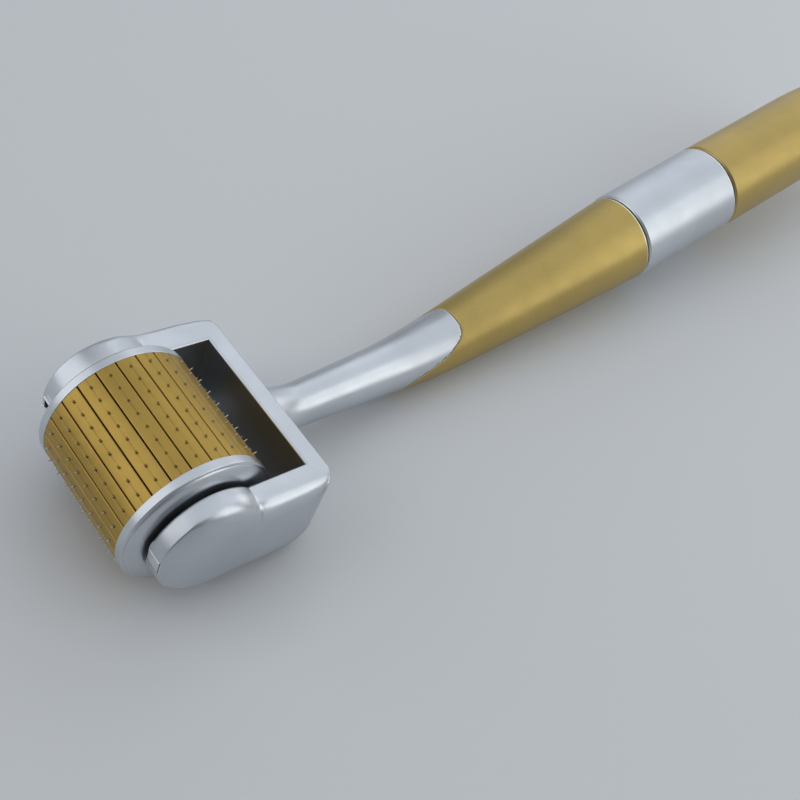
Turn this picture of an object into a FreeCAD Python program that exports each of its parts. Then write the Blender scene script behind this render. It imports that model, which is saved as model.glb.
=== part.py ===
import FreeCAD, Part
import Sketcher
import math
import os
from FreeCAD import Vector, Rotation, Placement

# Derma roller: a needled drum that spins between the arms of a U-shaped fork,
# on a bent neck that runs into a two-part handle with a ring in the middle.
# Frame: origin at the middle of the ring on the handle's axis, +X level and
# towards the tail, +Y to the right along the drum's axle, +Z up, with the
# roller lying on its drum and on the belly of its neck.  Millimetres, degrees.

os.makedirs("parts", exist_ok=True)
doc = FreeCAD.newDocument("derma_roller")

# ------------------------------------------------------------------ sheet
# alias, value, note
DIMS = [
    # drum
    ("strip_radius", 10.0, "outside radius of the strips"),
    ("strip_root", 8.4, "radius the strips sit on"),
    ("strip_half", 8.58, "half length of a strip"),
    ("strip_count", 24, "strips round the drum"),
    ("groove_width", 0.26, "gap between two strips at the surface"),
    ("rib_width", 1.2, "key rib under a strip"),
    ("rib_depth", 0.9, "how far the rib reaches into the core"),
    ("fit_gap", 0.02, "assembly gap between fixed pieces"),
    ("bore_gap", 0.005, "gap round the axle in the drum's bore"),
    ("first_strip", 155.0, "angle of strip 1 from the fork's X towards its Z"),
    ("needle_rows", 8, "needles along one strip"),
    ("needle_pitch", 2.08, "needle spacing along a strip"),
    ("needle_radius", 0.125, "needle shank radius"),
    ("needle_root", 8.95, "radius at the needle's blunt end"),
    ("needle_tip", 10.5, "radius at the needle's point"),
    ("needle_cone", 0.4, "length of the ground point"),
    ("needle_flat", 0.02, "radius of the flat on the needle's point"),
    ("rim_radius", 10.06, "flange rim radius"),
    ("rim_end", 9.85, "end of the rim band from the drum's middle"),
    ("rim_slope", 0.02, "rise of the rim's outer face towards the step"),
    ("step_radius", 9.62, "radius of the small step past the rim"),
    ("step_end", 9.97, "end of the step"),
    ("dome_radius", 7.3, "where the domed shoulder meets the flat face"),
    ("face_end", 10.55, "flat end face of the flange"),
    ("dome_arc", 4.2, "arc radius of the domed shoulder"),
    ("hub_radius", 2.4, "thrust collar on the flange"),
    ("hub_end", 11.0, "end of the thrust collar"),
    ("axle_radius", 1.0, "axle shaft radius"),
    ("axle_half", 13.1, "half length of the axle shaft"),
    ("axle_chamfer", 0.2, "axle end chamfer"),
    # fork
    ("arm_inner", 11.1, "inner face of an arm from the middle"),
    ("arm_outer", 14.9, "outer face of an arm from the middle"),
    ("fork_top", 5.73, "top face above the axle"),
    ("boss_radius", 7.5, "round boss on each arm"),
    ("bridge_inner", 13.39, "inner face of the bridge"),
    ("bridge_outer", 15.93, "outer face of the bridge"),
    ("bridge_foot", 6.2, "underside of the bridge below the axle"),
    ("heel_fillet", 4.4, "rounded rear lower corner of the arms"),
    ("crease_fillet", 1.4, "hollow between boss and arm"),
    ("side_fillet", 1.25, "soft outer edge of the arms"),
    ("socket_radius", 1.05, "axle socket in the arm"),
    ("socket_end", 13.3, "bottom of the axle socket"),
    ("slot_height", 2.0, "snap-in slot to the socket"),
    ("slot_end", 12.9, "bottom of the snap-in slot"),
    ("keeper_inset", 0.15, "keeper behind the boss front and the arm's inner face"),
    ("keeper_stop", 1.25, "keeper's rear end in front of the axle"),
    ("keeper_end_gap", 0.05, "gap from the keeper to the slot's bottom"),
    ("keeper_notch", 0.35, "notch radius in the keeper's front inner corner"),
    ("spigot_radius", 2.2, "neck spigot in the bridge"),
    ("spigot_depth", 1.7, "neck spigot length"),
    ("spigot_gap", 0.05, "gap past the spigot's end"),
    # neck and handle, radii along the stem
    ("neck_flare", 4.2, "neck radius against the bridge"),
    ("flare_length", 3.6, "length of the flare"),
    ("flare_inset", 0.05, "flare's thin end under the neck's surface"),
    ("neck_thin", 3.0, "thinnest neck radius"),
    ("neck_mid", 3.16, "neck radius part way"),
    ("neck_mid_at", 9.6, "distance of that radius from the bridge"),
    ("neck_thick", 3.62, "neck radius where it starts to bend"),
    ("neck_bend", 4.15, "neck radius in the bend"),
    ("sleeve_small", 4.58, "radius just past the bend"),
    ("sleeve_large", 6.78, "front sleeve radius at the ring"),
    ("sleeve_slope", 0.0628, "front sleeve taper, radius per length"),
    ("neck_height", 0.93, "neck axis height at the bridge"),
    ("neck_rise", 4.3, "neck slope against the fork, degrees"),
    ("grip_tilt", 18.5, "handle slope against the fork, degrees"),
    ("bend_radius", 48.0, "radius of the bend"),
    ("fork_pitch", 12.8, "fork slope against the table, degrees"),
    ("ring_from_axle", 89.3, "ring middle from the axle along the fork"),
    ("ring_over_axle", 18.75, "ring middle above the fork's middle plane"),
    ("seam", 0.05, "fine seam between two shells"),
    ("tang_radius", 2.2, "tang under the front sleeve"),
    ("tang_end", 20.0, "tang end before the ring's middle"),
    ("end_gap", 0.2, "extra bore length past the core's or the tang's end"),
    ("core_front", 34.0, "front end of the core tube before the ring"),
    ("core_rear", 34.0, "rear end of the core tube past the ring"),
    ("core_nose", 3.9, "core tube radius under the front sleeve"),
    ("core_mid", 5.2, "core tube radius under the ring"),
    ("core_tail", 5.0, "core tube radius in the rear sleeve"),
    ("core_bore", 3.4, "core tube bore behind the tang"),
    ("ring_radius", 7.0, "ring outside radius"),
    ("ring_half", 9.5, "half length of the ring"),
    ("ring_chamfer", 0.2, "ring edge chamfer"),
    ("ring_gap", 0.14, "shadow gap at each end of the ring"),
    ("rear_radius", 6.83, "rear sleeve radius at the ring"),
    ("rear_chamfer", 0.12, "chamfer of its edge at the ring"),
    ("rear_even", 33.0, "rear sleeve stays even to here"),
    ("rear_taper", 41.0, "rear sleeve station"),
    ("rear_taper_radius", 6.45, "radius there"),
    ("rear_end", 46.5, "rear end of the rear sleeve"),
    ("rear_end_radius", 5.5, "radius there"),
    ("rear_wall", 1.3, "wall of the hollow tail"),
    ("cap_inset", 0.05, "cap edge inside the sleeve's edge"),
    ("cap_arc", 3.9, "arc radius of the cap's rounded nose"),
    ("cap_end", 49.4, "flat end of the end cap"),
    ("cap_flat", 3.2, "radius of the flat on the end cap"),
    ("cap_plug", 6.0, "length of the cap's plug in the sleeve"),
]
sheet = doc.addObject("Spreadsheet::Sheet", "Dims")
for row, (alias, amount, note) in enumerate(DIMS, start=1):
    sheet.set("A%d" % row, alias)
    sheet.set("B%d" % row, str(amount))
    sheet.set("C%d" % row, note)
    sheet.setAlias("B%d" % row, alias)
doc.recompute()


class Size:
    """A number together with the sheet expression that yields it."""

    def __init__(self, number, text):
        self.number = float(number)
        self.text = text

    def __add__(self, other):
        other = as_size(other)
        return Size(self.number + other.number, "(%s + %s)" % (self.text, other.text))

    def __sub__(self, other):
        other = as_size(other)
        return Size(self.number - other.number, "(%s - %s)" % (self.text, other.text))

    def __mul__(self, other):
        other = as_size(other)
        return Size(self.number * other.number, "(%s * %s)" % (self.text, other.text))

    def __neg__(self):
        return Size(-self.number, "(0 - %s)" % self.text)


def as_size(amount):
    return amount if isinstance(amount, Size) else Size(amount, repr(float(amount)))


def value(alias):
    """Plain number from the sheet."""
    return float(sheet.get(alias))


def dim(alias):
    """Number from the sheet that stays bound to it."""
    return Size(value(alias), "Dims." + alias)


def drive(target, prop, size):
    """Set a property and bind it to the sheet."""
    setattr(target, prop, size.number)
    target.setExpression(prop, size.text)


# --------------------------------------------------------------- sketches
def new_body(name):
    body = doc.addObject("PartDesign::Body", name)
    body.Label = name
    return body


def origin_feature(body, role):
    return next(f for f in body.Origin.OriginFeatures if f.Role == role)


def new_sketch(body, name, plane):
    sketch = body.newObject("Sketcher::SketchObject", name)
    sketch.AttachmentSupport = [(origin_feature(body, plane), "")]
    sketch.MapMode = "FlatFace"
    return sketch


def raise_sketch(sketch, height):
    """Lift a sketch off its plane."""
    sketch.AttachmentOffset = Placement(Vector(0, 0, height.number), Rotation())
    sketch.setExpression("AttachmentOffset.Base.z", height.text)


def bind_constraint(sketch, index, label, size):
    sketch.renameConstraint(index, label)
    sketch.setExpression("Constraints." + label, size.text)


def pin_point(sketch, geo, pos, x, y, tag):
    """Hold a sketch point at sheet-driven coordinates."""
    x_axis, y_axis = -1, -2
    for letter, kind, size, zero_line in (("x", "DistanceX", x, y_axis),
                                          ("y", "DistanceY", y, x_axis)):
        if abs(size.number) < 1e-9:
            sketch.addConstraint(Sketcher.Constraint("PointOnObject", geo, pos, zero_line))
        else:
            index = sketch.addConstraint(
                Sketcher.Constraint(kind, -1, 1, geo, pos, size.number))
            bind_constraint(sketch, index, "%s_%s" % (tag, letter), size)


def add_arc(sketch, start, end, radius, side, label):
    """Arc from start to end, bulging to the left (+1) or right (-1) of the way.
    Returns the geometry with the vertex numbers of its start and end."""
    chord = end - start
    left = Vector(-chord.y, chord.x, 0)
    left.normalize()
    offset = math.sqrt(max(radius.number ** 2 - (chord.Length / 2) ** 2, 0.0))
    centre = (start + end) * 0.5 - left * (side * offset)
    start_angle = math.atan2(start.y - centre.y, start.x - centre.x)
    end_angle = math.atan2(end.y - centre.y, end.x - centre.x)
    circle = Part.Circle(centre, Vector(0, 0, 1), radius.number)
    if side > 0:
        if start_angle < end_angle:
            start_angle += 2 * math.pi
        arc = Part.ArcOfCircle(circle, end_angle, start_angle)
        vertices = (2, 1)
    else:
        if end_angle < start_angle:
            end_angle += 2 * math.pi
        arc = Part.ArcOfCircle(circle, start_angle, end_angle)
        vertices = (1, 2)
    geo = sketch.addGeometry(arc, False)
    index = sketch.addConstraint(Sketcher.Constraint("Radius", geo, radius.number))
    bind_constraint(sketch, index, label, radius)
    return (geo,) + vertices


def outline(body, name, plane, points):
    """Sketch of a closed outline.  An entry is (x, y), or (x, y, arc radius,
    side) where an arc runs from that point to the next."""
    sketch = new_sketch(body, name, plane)
    sizes = [(as_size(p[0]), as_size(p[1])) for p in points]
    corners = [Vector(x.number, y.number, 0) for x, y in sizes]
    count = len(points)
    pieces = []
    for i, entry in enumerate(points):
        start, end = corners[i], corners[(i + 1) % count]
        if len(entry) == 2:
            geo = sketch.addGeometry(Part.LineSegment(start, end), False)
            pieces.append((geo, 1, 2))
        else:
            pieces.append(add_arc(sketch, start, end, entry[2], entry[3], "p%d_r" % i))
    for i, (geo, first, last) in enumerate(pieces):
        next_geo, next_first, _ = pieces[(i + 1) % count]
        sketch.addConstraint(
            Sketcher.Constraint("Coincident", geo, last, next_geo, next_first))
        pin_point(sketch, geo, first, sizes[i][0], sizes[i][1], "p%d" % i)
    return sketch


def round_outline(body, name, plane, radius, y=0):
    """Sketch of one circle, centred on the sketch's vertical axis."""
    sketch = new_sketch(body, name, plane)
    y = as_size(y)
    circle = Part.Circle(Vector(0, y.number, 0), Vector(0, 0, 1), radius.number)
    geo = sketch.addGeometry(circle, False)
    add_circle_constraints(sketch, geo, y, radius, "c")
    return sketch


def add_circle_constraints(sketch, geo, y, radius, tag):
    if abs(y.number) < 1e-9:
        sketch.addConstraint(Sketcher.Constraint("Coincident", geo, 3, -1, 1))
    else:
        pin_point(sketch, geo, 3, as_size(0), y, tag)
    index = sketch.addConstraint(Sketcher.Constraint("Radius", geo, radius.number))
    bind_constraint(sketch, index, tag + "_r", radius)


# --------------------------------------------------------------- features
def make_symmetric(feature):
    # the property's name depends on the FreeCAD version
    if hasattr(feature, "SideType"):
        feature.SideType = "Symmetric"
    else:
        feature.Midplane = True


def pad(body, sketch, name, length):
    feature = body.newObject("PartDesign::Pad", name)
    feature.Profile = sketch
    drive(feature, "Length", length)
    make_symmetric(feature)
    doc.recompute()


def check_cut(body, before, name):
    after = body.Shape.Volume
    if not after < before - 1e-4:
        raise RuntimeError("%s cut nothing (%.4f -> %.4f)" % (name, before, after))


def pocket(body, sketch, name, length=None):
    """Cut to both sides of the sketch, right through if no length is given."""
    before = body.Shape.Volume
    feature = body.newObject("PartDesign::Pocket", name)
    feature.Profile = sketch
    if length is None:
        feature.Type = "ThroughAll"
    else:
        drive(feature, "Length", length)
    make_symmetric(feature)
    doc.recompute()
    check_cut(body, before, name)
    return feature


def blind_hole(body, sketch, name, depth):
    """Cut from the sketch along its normal."""
    before = body.Shape.Volume
    feature = body.newObject("PartDesign::Pocket", name)
    feature.Profile = sketch
    feature.Length = depth
    feature.Reversed = True
    doc.recompute()
    check_cut(body, before, name)
    return feature


def finish_pattern(body, pattern, count_alias):
    pattern.Occurrences = int(value(count_alias))
    pattern.setExpression("Occurrences", "Dims." + count_alias)
    before = body.Shape.Volume
    body.Tip = pattern
    doc.recompute()
    check_cut(body, before, pattern.Name)


def turned_body(name, prefix, plane, axis, points):
    body = new_body(name)
    sketch = outline(body, prefix + "_outline", plane, points)
    feature = body.newObject("PartDesign::Revolution", prefix + "_turned")
    feature.Profile = sketch
    feature.ReferenceAxis = (sketch, [axis])
    feature.Angle = 360.0
    doc.recompute()
    return body


def turned_on_axle(name, prefix, points):
    """Body turned about the axle, outline in (radius, y)."""
    return turned_body(name, prefix, "XY_Plane", "V_Axis", points)


def turned_on_grip(name, points):
    """Body turned about the handle's axis, outline in (x, radius)."""
    return turned_body(name, name, "XZ_Plane", "H_Axis", points)


def fillet(body, name, radius, pick):
    """Round the edges of the body that pick(edge ends) accepts."""
    base = body.Tip
    doc.recompute()
    names = []
    for i, edge in enumerate(base.Shape.Edges, start=1):
        ends = [vertex.Point for vertex in edge.Vertexes]
        if len(ends) == 2 and pick(ends):
            names.append("Edge%d" % i)
    if not names:
        raise RuntimeError("%s found no edge" % name)
    feature = body.newObject("PartDesign::Fillet", name)
    feature.Base = (base, names)
    drive(feature, "Radius", radius)
    doc.recompute()
    if feature.Shape.isNull() or not feature.isValid():
        raise RuntimeError("%s failed on %s" % (name, names))


def boolean(kind, name, base, tool):
    """Part::Cut, Part::Fuse or Part::Common of two objects."""
    result = doc.addObject("Part::" + kind, name)
    result.Base = base
    result.Tool = tool
    doc.recompute()
    return result


# ------------------------------------------------------------- placements
Y_AXIS = Vector(0, 1, 0)
PITCH = value("fork_pitch")
RING_X, RING_Z = value("ring_from_axle"), value("ring_over_axle")
PITCH_COS, PITCH_SIN = math.cos(math.radians(PITCH)), math.sin(math.radians(PITCH))
AXLE = Vector(-(RING_X * PITCH_COS + RING_Z * PITCH_SIN), 0.0,
              RING_X * PITCH_SIN - RING_Z * PITCH_COS)
DRUM = Placement(AXLE, Rotation())
HEAD = Placement(AXLE, Rotation(Y_AXIS, PITCH))
GRIP = Placement(Vector(0, 0, 0), Rotation(Y_AXIS, PITCH - value("grip_tilt")))

pieces_out = []


def keep(piece, placement):
    """Place a finished piece and list it for export under its label."""
    piece.Placement = placement
    pieces_out.append(piece)


# =================================================================== drum
STRIPS = int(value("strip_count"))


def strip_turn(k):
    """Rotation that brings local +Z to the middle of strip k, counted from 0."""
    angle = value("first_strip") - PITCH - 360.0 / STRIPS * k
    return Rotation(Y_AXIS, 90.0 - angle)


def build_drum_core():
    """Plain hub with one key slot for each strip."""
    slot_overcut = 0.5
    body = new_body("drum_core")
    sketch = round_outline(body, "core_outline", "XZ_Plane", dim("strip_root") - dim("fit_gap"))
    bore = dim("axle_radius") + dim("bore_gap")
    circle = Part.Circle(Vector(0, 0, 0), Vector(0, 0, 1), bore.number)
    geo = sketch.addGeometry(circle, False)
    add_circle_constraints(sketch, geo, as_size(0), bore, "bore")
    pad(body, sketch, "core_pad", dim("strip_half") * 2)

    half = dim("rib_width") * 0.5 + dim("fit_gap")
    low = dim("strip_root") - dim("rib_depth") - dim("fit_gap") * 2
    high = dim("strip_root") + slot_overcut
    sketch = outline(body, "key_slot_outline", "XZ_Plane",
                     [(-half, low), (half, low), (half, high), (-half, high)])
    slot = pocket(body, sketch, "key_slot")
    pattern = body.newObject("PartDesign::PolarPattern", "key_slots")
    pattern.Originals = [slot]
    pattern.Axis = (origin_feature(body, "Y_Axis"), [""])
    pattern.Angle = 360.0
    finish_pattern(body, pattern, "strip_count")
    keep(body, Placement(AXLE, strip_turn(0)))


def strip_corner(radius_alias):
    """Corner (x, z) of a strip at a radius, half a groove from its neighbour."""
    radius = value(radius_alias)
    x = radius * math.sin(math.radians(180.0 / STRIPS)) - value("groove_width") / 2
    x_text = ("(Dims.%s * sin(180deg / Dims.strip_count) - Dims.groove_width / 2)"
              % radius_alias)
    z_text = "(sqrt(Dims.%s ^ 2 - %s ^ 2))" % (radius_alias, x_text)
    return Size(x, x_text), Size(math.sqrt(radius ** 2 - x ** 2), z_text)


def build_needle_strip(k):
    """Curved bar with a key rib and a row of blind needle holes."""
    hole_depth = 3.0  # runs out past the strip's surface
    number = k + 1
    top_x, top_z = strip_corner("strip_radius")
    low_x, low_z = strip_corner("strip_root")
    rib_x = dim("rib_width") * 0.5
    rib_z = Size(math.sqrt(value("strip_root") ** 2 - (value("rib_width") / 2) ** 2),
                 "(sqrt(Dims.strip_root ^ 2 - (Dims.rib_width / 2) ^ 2))")
    foot = dim("strip_root") - dim("rib_depth")
    body = new_body("needle_strip_%02d" % number)
    # clockwise from the upper left corner; both curved sides are concentric
    sketch = outline(body, "outline_%02d" % number, "XZ_Plane", [
        (-top_x, top_z, dim("strip_radius"), 1),
        (top_x, top_z),
        (low_x, low_z, dim("strip_root"), -1),
        (rib_x, rib_z),
        (rib_x, foot),
        (-rib_x, foot),
        (-rib_x, rib_z, dim("strip_root"), -1),
        (-low_x, low_z),
    ])
    pad(body, sketch, "bar_%02d" % number, dim("strip_half") * 2)

    row_length = dim("needle_pitch") * (dim("needle_rows") - 1)
    sketch = round_outline(body, "hole_%02d" % number, "XY_Plane",
                           dim("needle_radius"), -(row_length * 0.5))
    raise_sketch(sketch, dim("needle_root"))
    hole = blind_hole(body, sketch, "needle_hole_%02d" % number, hole_depth)
    pattern = body.newObject("PartDesign::LinearPattern", "needle_holes_%02d" % number)
    pattern.Originals = [hole]
    pattern.Direction = (origin_feature(body, "Y_Axis"), [""])
    drive(pattern, "Length", row_length)
    finish_pattern(body, pattern, "needle_rows")
    keep(body, Placement(AXLE, strip_turn(k)))


def build_needles():
    """One pointed needle in every hole."""
    radius, flat = value("needle_radius"), value("needle_flat")
    root, tip = value("needle_root"), value("needle_tip")
    profile = Part.makePolygon([
        Vector(0, 0, root),
        Vector(radius, 0, root),
        Vector(radius, 0, tip - value("needle_cone")),
        Vector(flat, 0, tip),
        Vector(0, 0, tip),
        Vector(0, 0, root),
    ])
    needle = Part.Face(profile).revolve(Vector(0, 0, 0), Vector(0, 0, 1), 360)
    rows = int(value("needle_rows"))
    pins = []
    for k in range(STRIPS):
        turn = strip_turn(k)
        for j in range(rows):
            y = (j - (rows - 1) / 2.0) * value("needle_pitch")
            pin = needle.copy()
            pin.Placement = Placement(turn.multVec(Vector(0, y, 0)), turn)
            pins.append(pin)
    needles = doc.addObject("Part::Feature", "needles")
    needles.Shape = Part.makeCompound(pins)
    keep(needles, DRUM)


def build_drum_flange(name, turn):
    """End flange: a flush rim, a fine step, a domed shoulder and a thrust collar."""
    bore = dim("axle_radius") + dim("bore_gap")
    inner = dim("strip_half") + dim("fit_gap")
    body = turned_on_axle(name, name, [
        (bore, inner),
        (dim("rim_radius"), inner),
        (dim("rim_radius"), dim("rim_end")),
        (dim("step_radius"), dim("rim_end") + dim("rim_slope")),
        (dim("step_radius"), dim("step_end"), dim("dome_arc"), -1),
        (dim("dome_radius"), dim("face_end")),
        (dim("hub_radius"), dim("face_end")),
        (dim("hub_radius"), dim("hub_end")),
        (bore, dim("hub_end")),
    ])
    keep(body, Placement(AXLE, Rotation(Vector(1, 0, 0), turn)))


def build_axle_shaft():
    """One pin through the drum, turning in the fork's sockets."""
    radius, half, chamfer = dim("axle_radius"), dim("axle_half"), dim("axle_chamfer")
    body = turned_on_axle("axle_shaft", "axle", [
        (0, -half),
        (radius - chamfer, -half),
        (radius, -half + chamfer),
        (radius, half - chamfer),
        (radius - chamfer, half),
        (0, half),
    ])
    keep(body, DRUM)


# =================================================================== fork
# Fork and keepers are laid out from the axle: local X runs to the bridge.
def build_head_fork():
    """Two bossed arms joined by a bridge at the rear."""
    window_front = -20.0
    trim_front, trim_rear, trim_low = 12.0, 18.0, -12.0
    slot_front = -10.0
    spigot_hole_depth = 5.0  # runs out past the bridge
    arm_inner, arm_outer, boss = dim("arm_inner"), dim("arm_outer"), dim("boss_radius")
    body = new_body("head_fork")
    sketch = outline(body, "arm_outline", "XZ_Plane", [
        (0, -boss),
        (dim("bridge_outer"), -boss),
        (dim("bridge_outer"), dim("fork_top")),
        (0, dim("fork_top")),
    ])
    pad(body, sketch, "arm_block", arm_outer * 2)
    sketch = round_outline(body, "boss_outline", "XZ_Plane", boss)
    pad(body, sketch, "boss_block", arm_outer * 2)

    def crosswise_at(x, z):
        """Picks the edges along Y at (x, z)."""
        return lambda ends: all(abs(p.x - x) < 1e-3 and abs(p.z - z) < 1e-3 for p in ends)

    def on_outer_side(ends):
        return (all(abs(abs(p.y) - arm_outer.number) < 1e-3 for p in ends)
                and abs(ends[0].y - ends[1].y) < 1e-3)

    top = value("fork_top")
    crease_x = math.sqrt(boss.number ** 2 - top ** 2)
    fillet(body, "heel", dim("heel_fillet"), crosswise_at(value("bridge_outer"), -boss.number))
    fillet(body, "crease", dim("crease_fillet"), crosswise_at(crease_x, top))
    fillet(body, "side_edges", dim("side_fillet"), on_outer_side)

    sketch = outline(body, "window_outline", "XY_Plane", [
        (window_front, -arm_inner),
        (dim("bridge_inner"), -arm_inner),
        (dim("bridge_inner"), arm_inner),
        (window_front, arm_inner),
    ])
    pocket(body, sketch, "window")
    sketch = outline(body, "foot_outline", "XZ_Plane", [
        (trim_front, trim_low),
        (trim_rear, trim_low),
        (trim_rear, -dim("bridge_foot")),
        (trim_front, -dim("bridge_foot")),
    ])
    pocket(body, sketch, "bridge_trim", arm_inner * 2)
    sketch = round_outline(body, "socket_outline", "XZ_Plane", dim("socket_radius"))
    pocket(body, sketch, "sockets", dim("socket_end") * 2)
    slot_low, slot_high = dim("slot_height") * -0.5, dim("slot_height") * 0.5
    sketch = outline(body, "slot_outline", "XZ_Plane", [
        (slot_front, slot_low), (0, slot_low), (0, slot_high), (slot_front, slot_high)])
    pocket(body, sketch, "snap_slots", dim("slot_end") * 2)
    sketch = round_outline(body, "spigot_outline", "YZ_Plane",
                           dim("spigot_radius") + dim("fit_gap"), dim("neck_height"))
    raise_sketch(sketch, dim("bridge_outer") - dim("spigot_depth") - dim("spigot_gap"))
    blind_hole(body, sketch, "spigot_hole", spigot_hole_depth)
    keep(body, HEAD)


def build_axle_keeper(name, side):
    """Plate that fills the snap-in slot of the arm on the +Y (1) or -Y (-1) side."""
    notch_height = 10.0
    inset = dim("keeper_inset")
    length = dim("boss_radius") - inset - dim("keeper_stop")
    height = dim("slot_height") - dim("fit_gap") * 2
    width = dim("slot_end") - dim("arm_inner") - inset - dim("keeper_end_gap")
    front = inset.number - value("boss_radius")
    inner = value("arm_inner") + inset.number

    plate = doc.addObject("Part::Box", name + "_plate")
    drive(plate, "Length", length)
    drive(plate, "Height", height)
    drive(plate, "Width", width)
    plate_y = inner if side > 0 else -inner - width.number
    plate.Placement = Placement(Vector(front, plate_y, -height.number / 2), Rotation())
    notch = doc.addObject("Part::Cylinder", name + "_notch")
    drive(notch, "Radius", dim("keeper_notch"))
    notch.Height = notch_height
    notch.Placement = Placement(Vector(front, side * inner, -notch_height / 2), Rotation())
    keep(boolean("Cut", name, plate, notch), HEAD)


# ======================================================= neck and handle
# Everything here is laid out along the handle's axis: local X runs to the
# tail, local Z is the handle's upper side, and the ring's middle is x = 0.
TILT = math.radians(value("grip_tilt"))
FORK_AXIS = Vector(math.cos(TILT), 0, -math.sin(TILT))


def to_grip(x, z):
    """A point given from the axle, in the fork's own directions."""
    dx, dz = x - RING_X, z - RING_Z
    return Vector(dx * math.cos(TILT) + dz * math.sin(TILT), 0,
                  -dx * math.sin(TILT) + dz * math.cos(TILT))


# Stem centre line: a straight neck from the bridge, an arc, then the handle's axis.
BRIDGE_POINT = to_grip(value("bridge_outer"), value("neck_height"))
BEND_ANGLE = TILT - math.radians(value("neck_rise"))
BEND_RADIUS = value("bend_radius")
NECK_DIR = Vector(math.cos(BEND_ANGLE), 0, -math.sin(BEND_ANGLE))
CORNER_RUN = BRIDGE_POINT.z / math.sin(BEND_ANGLE)  # bridge to handle's axis, unbent
CORNER_CUT = BEND_RADIUS * math.tan(BEND_ANGLE / 2)
STRAIGHT = CORNER_RUN - CORNER_CUT
ARC_LENGTH = BEND_RADIUS * BEND_ANGLE
BEND_END_X = (BRIDGE_POINT + NECK_DIR * CORNER_RUN).x + CORNER_CUT


def stem(distance):
    """Point and direction on the centre line at a distance from the bridge."""
    if distance <= STRAIGHT:
        return BRIDGE_POINT + NECK_DIR * distance, NECK_DIR
    past = distance - STRAIGHT
    if past <= ARC_LENGTH:
        start = BRIDGE_POINT + NECK_DIR * STRAIGHT
        to_centre = Vector(math.sin(BEND_ANGLE), 0, math.cos(BEND_ANGLE))
        centre = start + to_centre * BEND_RADIUS
        angle = BEND_ANGLE - past / BEND_RADIUS
        point = centre - Vector(math.sin(angle), 0, math.cos(angle)) * BEND_RADIUS
        return point, Vector(math.cos(angle), 0, -math.sin(angle))
    return Vector(BEND_END_X + past - ARC_LENGTH, 0, 0), Vector(1, 0, 0)


def at_x(x):
    """Distance along the stem to a handle station x past the bend."""
    return STRAIGHT + ARC_LENGTH + x - BEND_END_X


def sleeve_radius(x):
    """Radius of the front sleeve's taper at station x."""
    return dim("sleeve_large") + dim("sleeve_slope") * (dim("ring_half") + dim("ring_gap") + x)


# distance from the bridge, stem radius
STEM_KNOTS = [
    (0.0, dim("neck_thin")),
    (value("flare_length"), dim("neck_thin")),
    (value("neck_mid_at"), dim("neck_mid")),
    (STRAIGHT, dim("neck_thick")),
    (STRAIGHT + ARC_LENGTH / 2, dim("neck_bend")),
    (STRAIGHT + ARC_LENGTH, dim("sleeve_small")),
    (at_x(-36.0), sleeve_radius(-36.0)),
    (at_x(-22.0), sleeve_radius(-22.0)),
    (at_x(-value("ring_half") - value("ring_gap")), dim("sleeve_large")),
]
STEM_SPANS = 18

# Side view (x, z) of the seam between the neck's tongue and the front sleeve.
SEAM_POINTS = [
    (-43.25, 5.4), (-43.35, 4.4), (-43.7, 3.8), (-44.5, 3.2), (-45.3, 2.8), (-46.8, 2.15),
    (-48.9, 1.6), (-50.7, 1.2), (-53.2, 0.5), (-54.6, -0.5), (-55.25, -2.0), (-55.4, -6.5),
]


def stem_radius(distance):
    """Radius between the knots, in proportion to the distance."""
    for (start, start_radius), (end, end_radius) in zip(STEM_KNOTS[:-1], STEM_KNOTS[1:]):
        if distance <= end:
            break
    share = round((distance - start) / (end - start), 6)
    return start_radius * (1 - share) + end_radius * share


def build_stem_envelope():
    """Evenly spaced round sections along the centre line, lofted into one form."""
    total = STEM_KNOTS[-1][0]
    stations = []
    for i in range(STEM_SPANS + 1):
        distance = total * i / STEM_SPANS
        station = doc.addObject("Part::Circle", "stem_station_%02d" % i)
        drive(station, "Radius", stem_radius(distance))
        point, along = stem(distance)
        # the circle's own x is +Y, its normal follows the stem
        station.Placement = Placement(FreeCAD.Matrix(
            0, -along.z, along.x, point.x,
            1, 0, 0, point.y,
            0, along.x, along.z, point.z,
            0, 0, 0, 1))
        stations.append(station)
    doc.recompute()
    envelope = doc.addObject("Part::Loft", "stem_envelope")
    envelope.Sections = stations
    envelope.Solid = True
    envelope.Ruled = False
    envelope.MaxDegree = 3
    doc.recompute()
    return envelope


def seam_block(name, shift):
    """Block behind the seam, with the seam moved forward and up by the shift."""
    rise_per_shift = 0.6
    half_height, half_width = 14.0, 12.0
    rear = 4.0 - value("ring_half")
    points = [Vector(x - shift, 0, z + shift * rise_per_shift) for x, z in SEAM_POINTS]
    curve = Part.BSplineCurve()
    curve.interpolate(points)
    top, bottom = points[0], points[-1]
    path = [
        bottom,
        Vector(bottom.x, 0, -half_height),
        Vector(rear, 0, -half_height),
        Vector(rear, 0, half_height),
        Vector(top.x, 0, half_height),
        top,
    ]
    lines = [Part.makeLine(start, end) for start, end in zip(path[:-1], path[1:])]
    solid = Part.Face(Part.Wire([curve.toShape()] + lines)).extrude(
        Vector(0, 2 * half_width, 0))
    solid.translate(Vector(0, -half_width, 0))
    block = doc.addObject("Part::Feature", name)
    block.Shape = solid
    return block


def grip_cylinder(name, radius, start, end):
    """Cylinder along the handle's axis between two stations."""
    start, end = as_size(start), as_size(end)
    cylinder = doc.addObject("Part::Cylinder", name)
    cylinder.Placement = Placement(Vector(start.number, 0, 0), Rotation(Y_AXIS, 90))
    drive(cylinder, "Radius", radius)
    drive(cylinder, "Height", end - start)
    cylinder.setExpression("Placement.Base.x", start.text)
    doc.recompute()
    return cylinder


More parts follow.
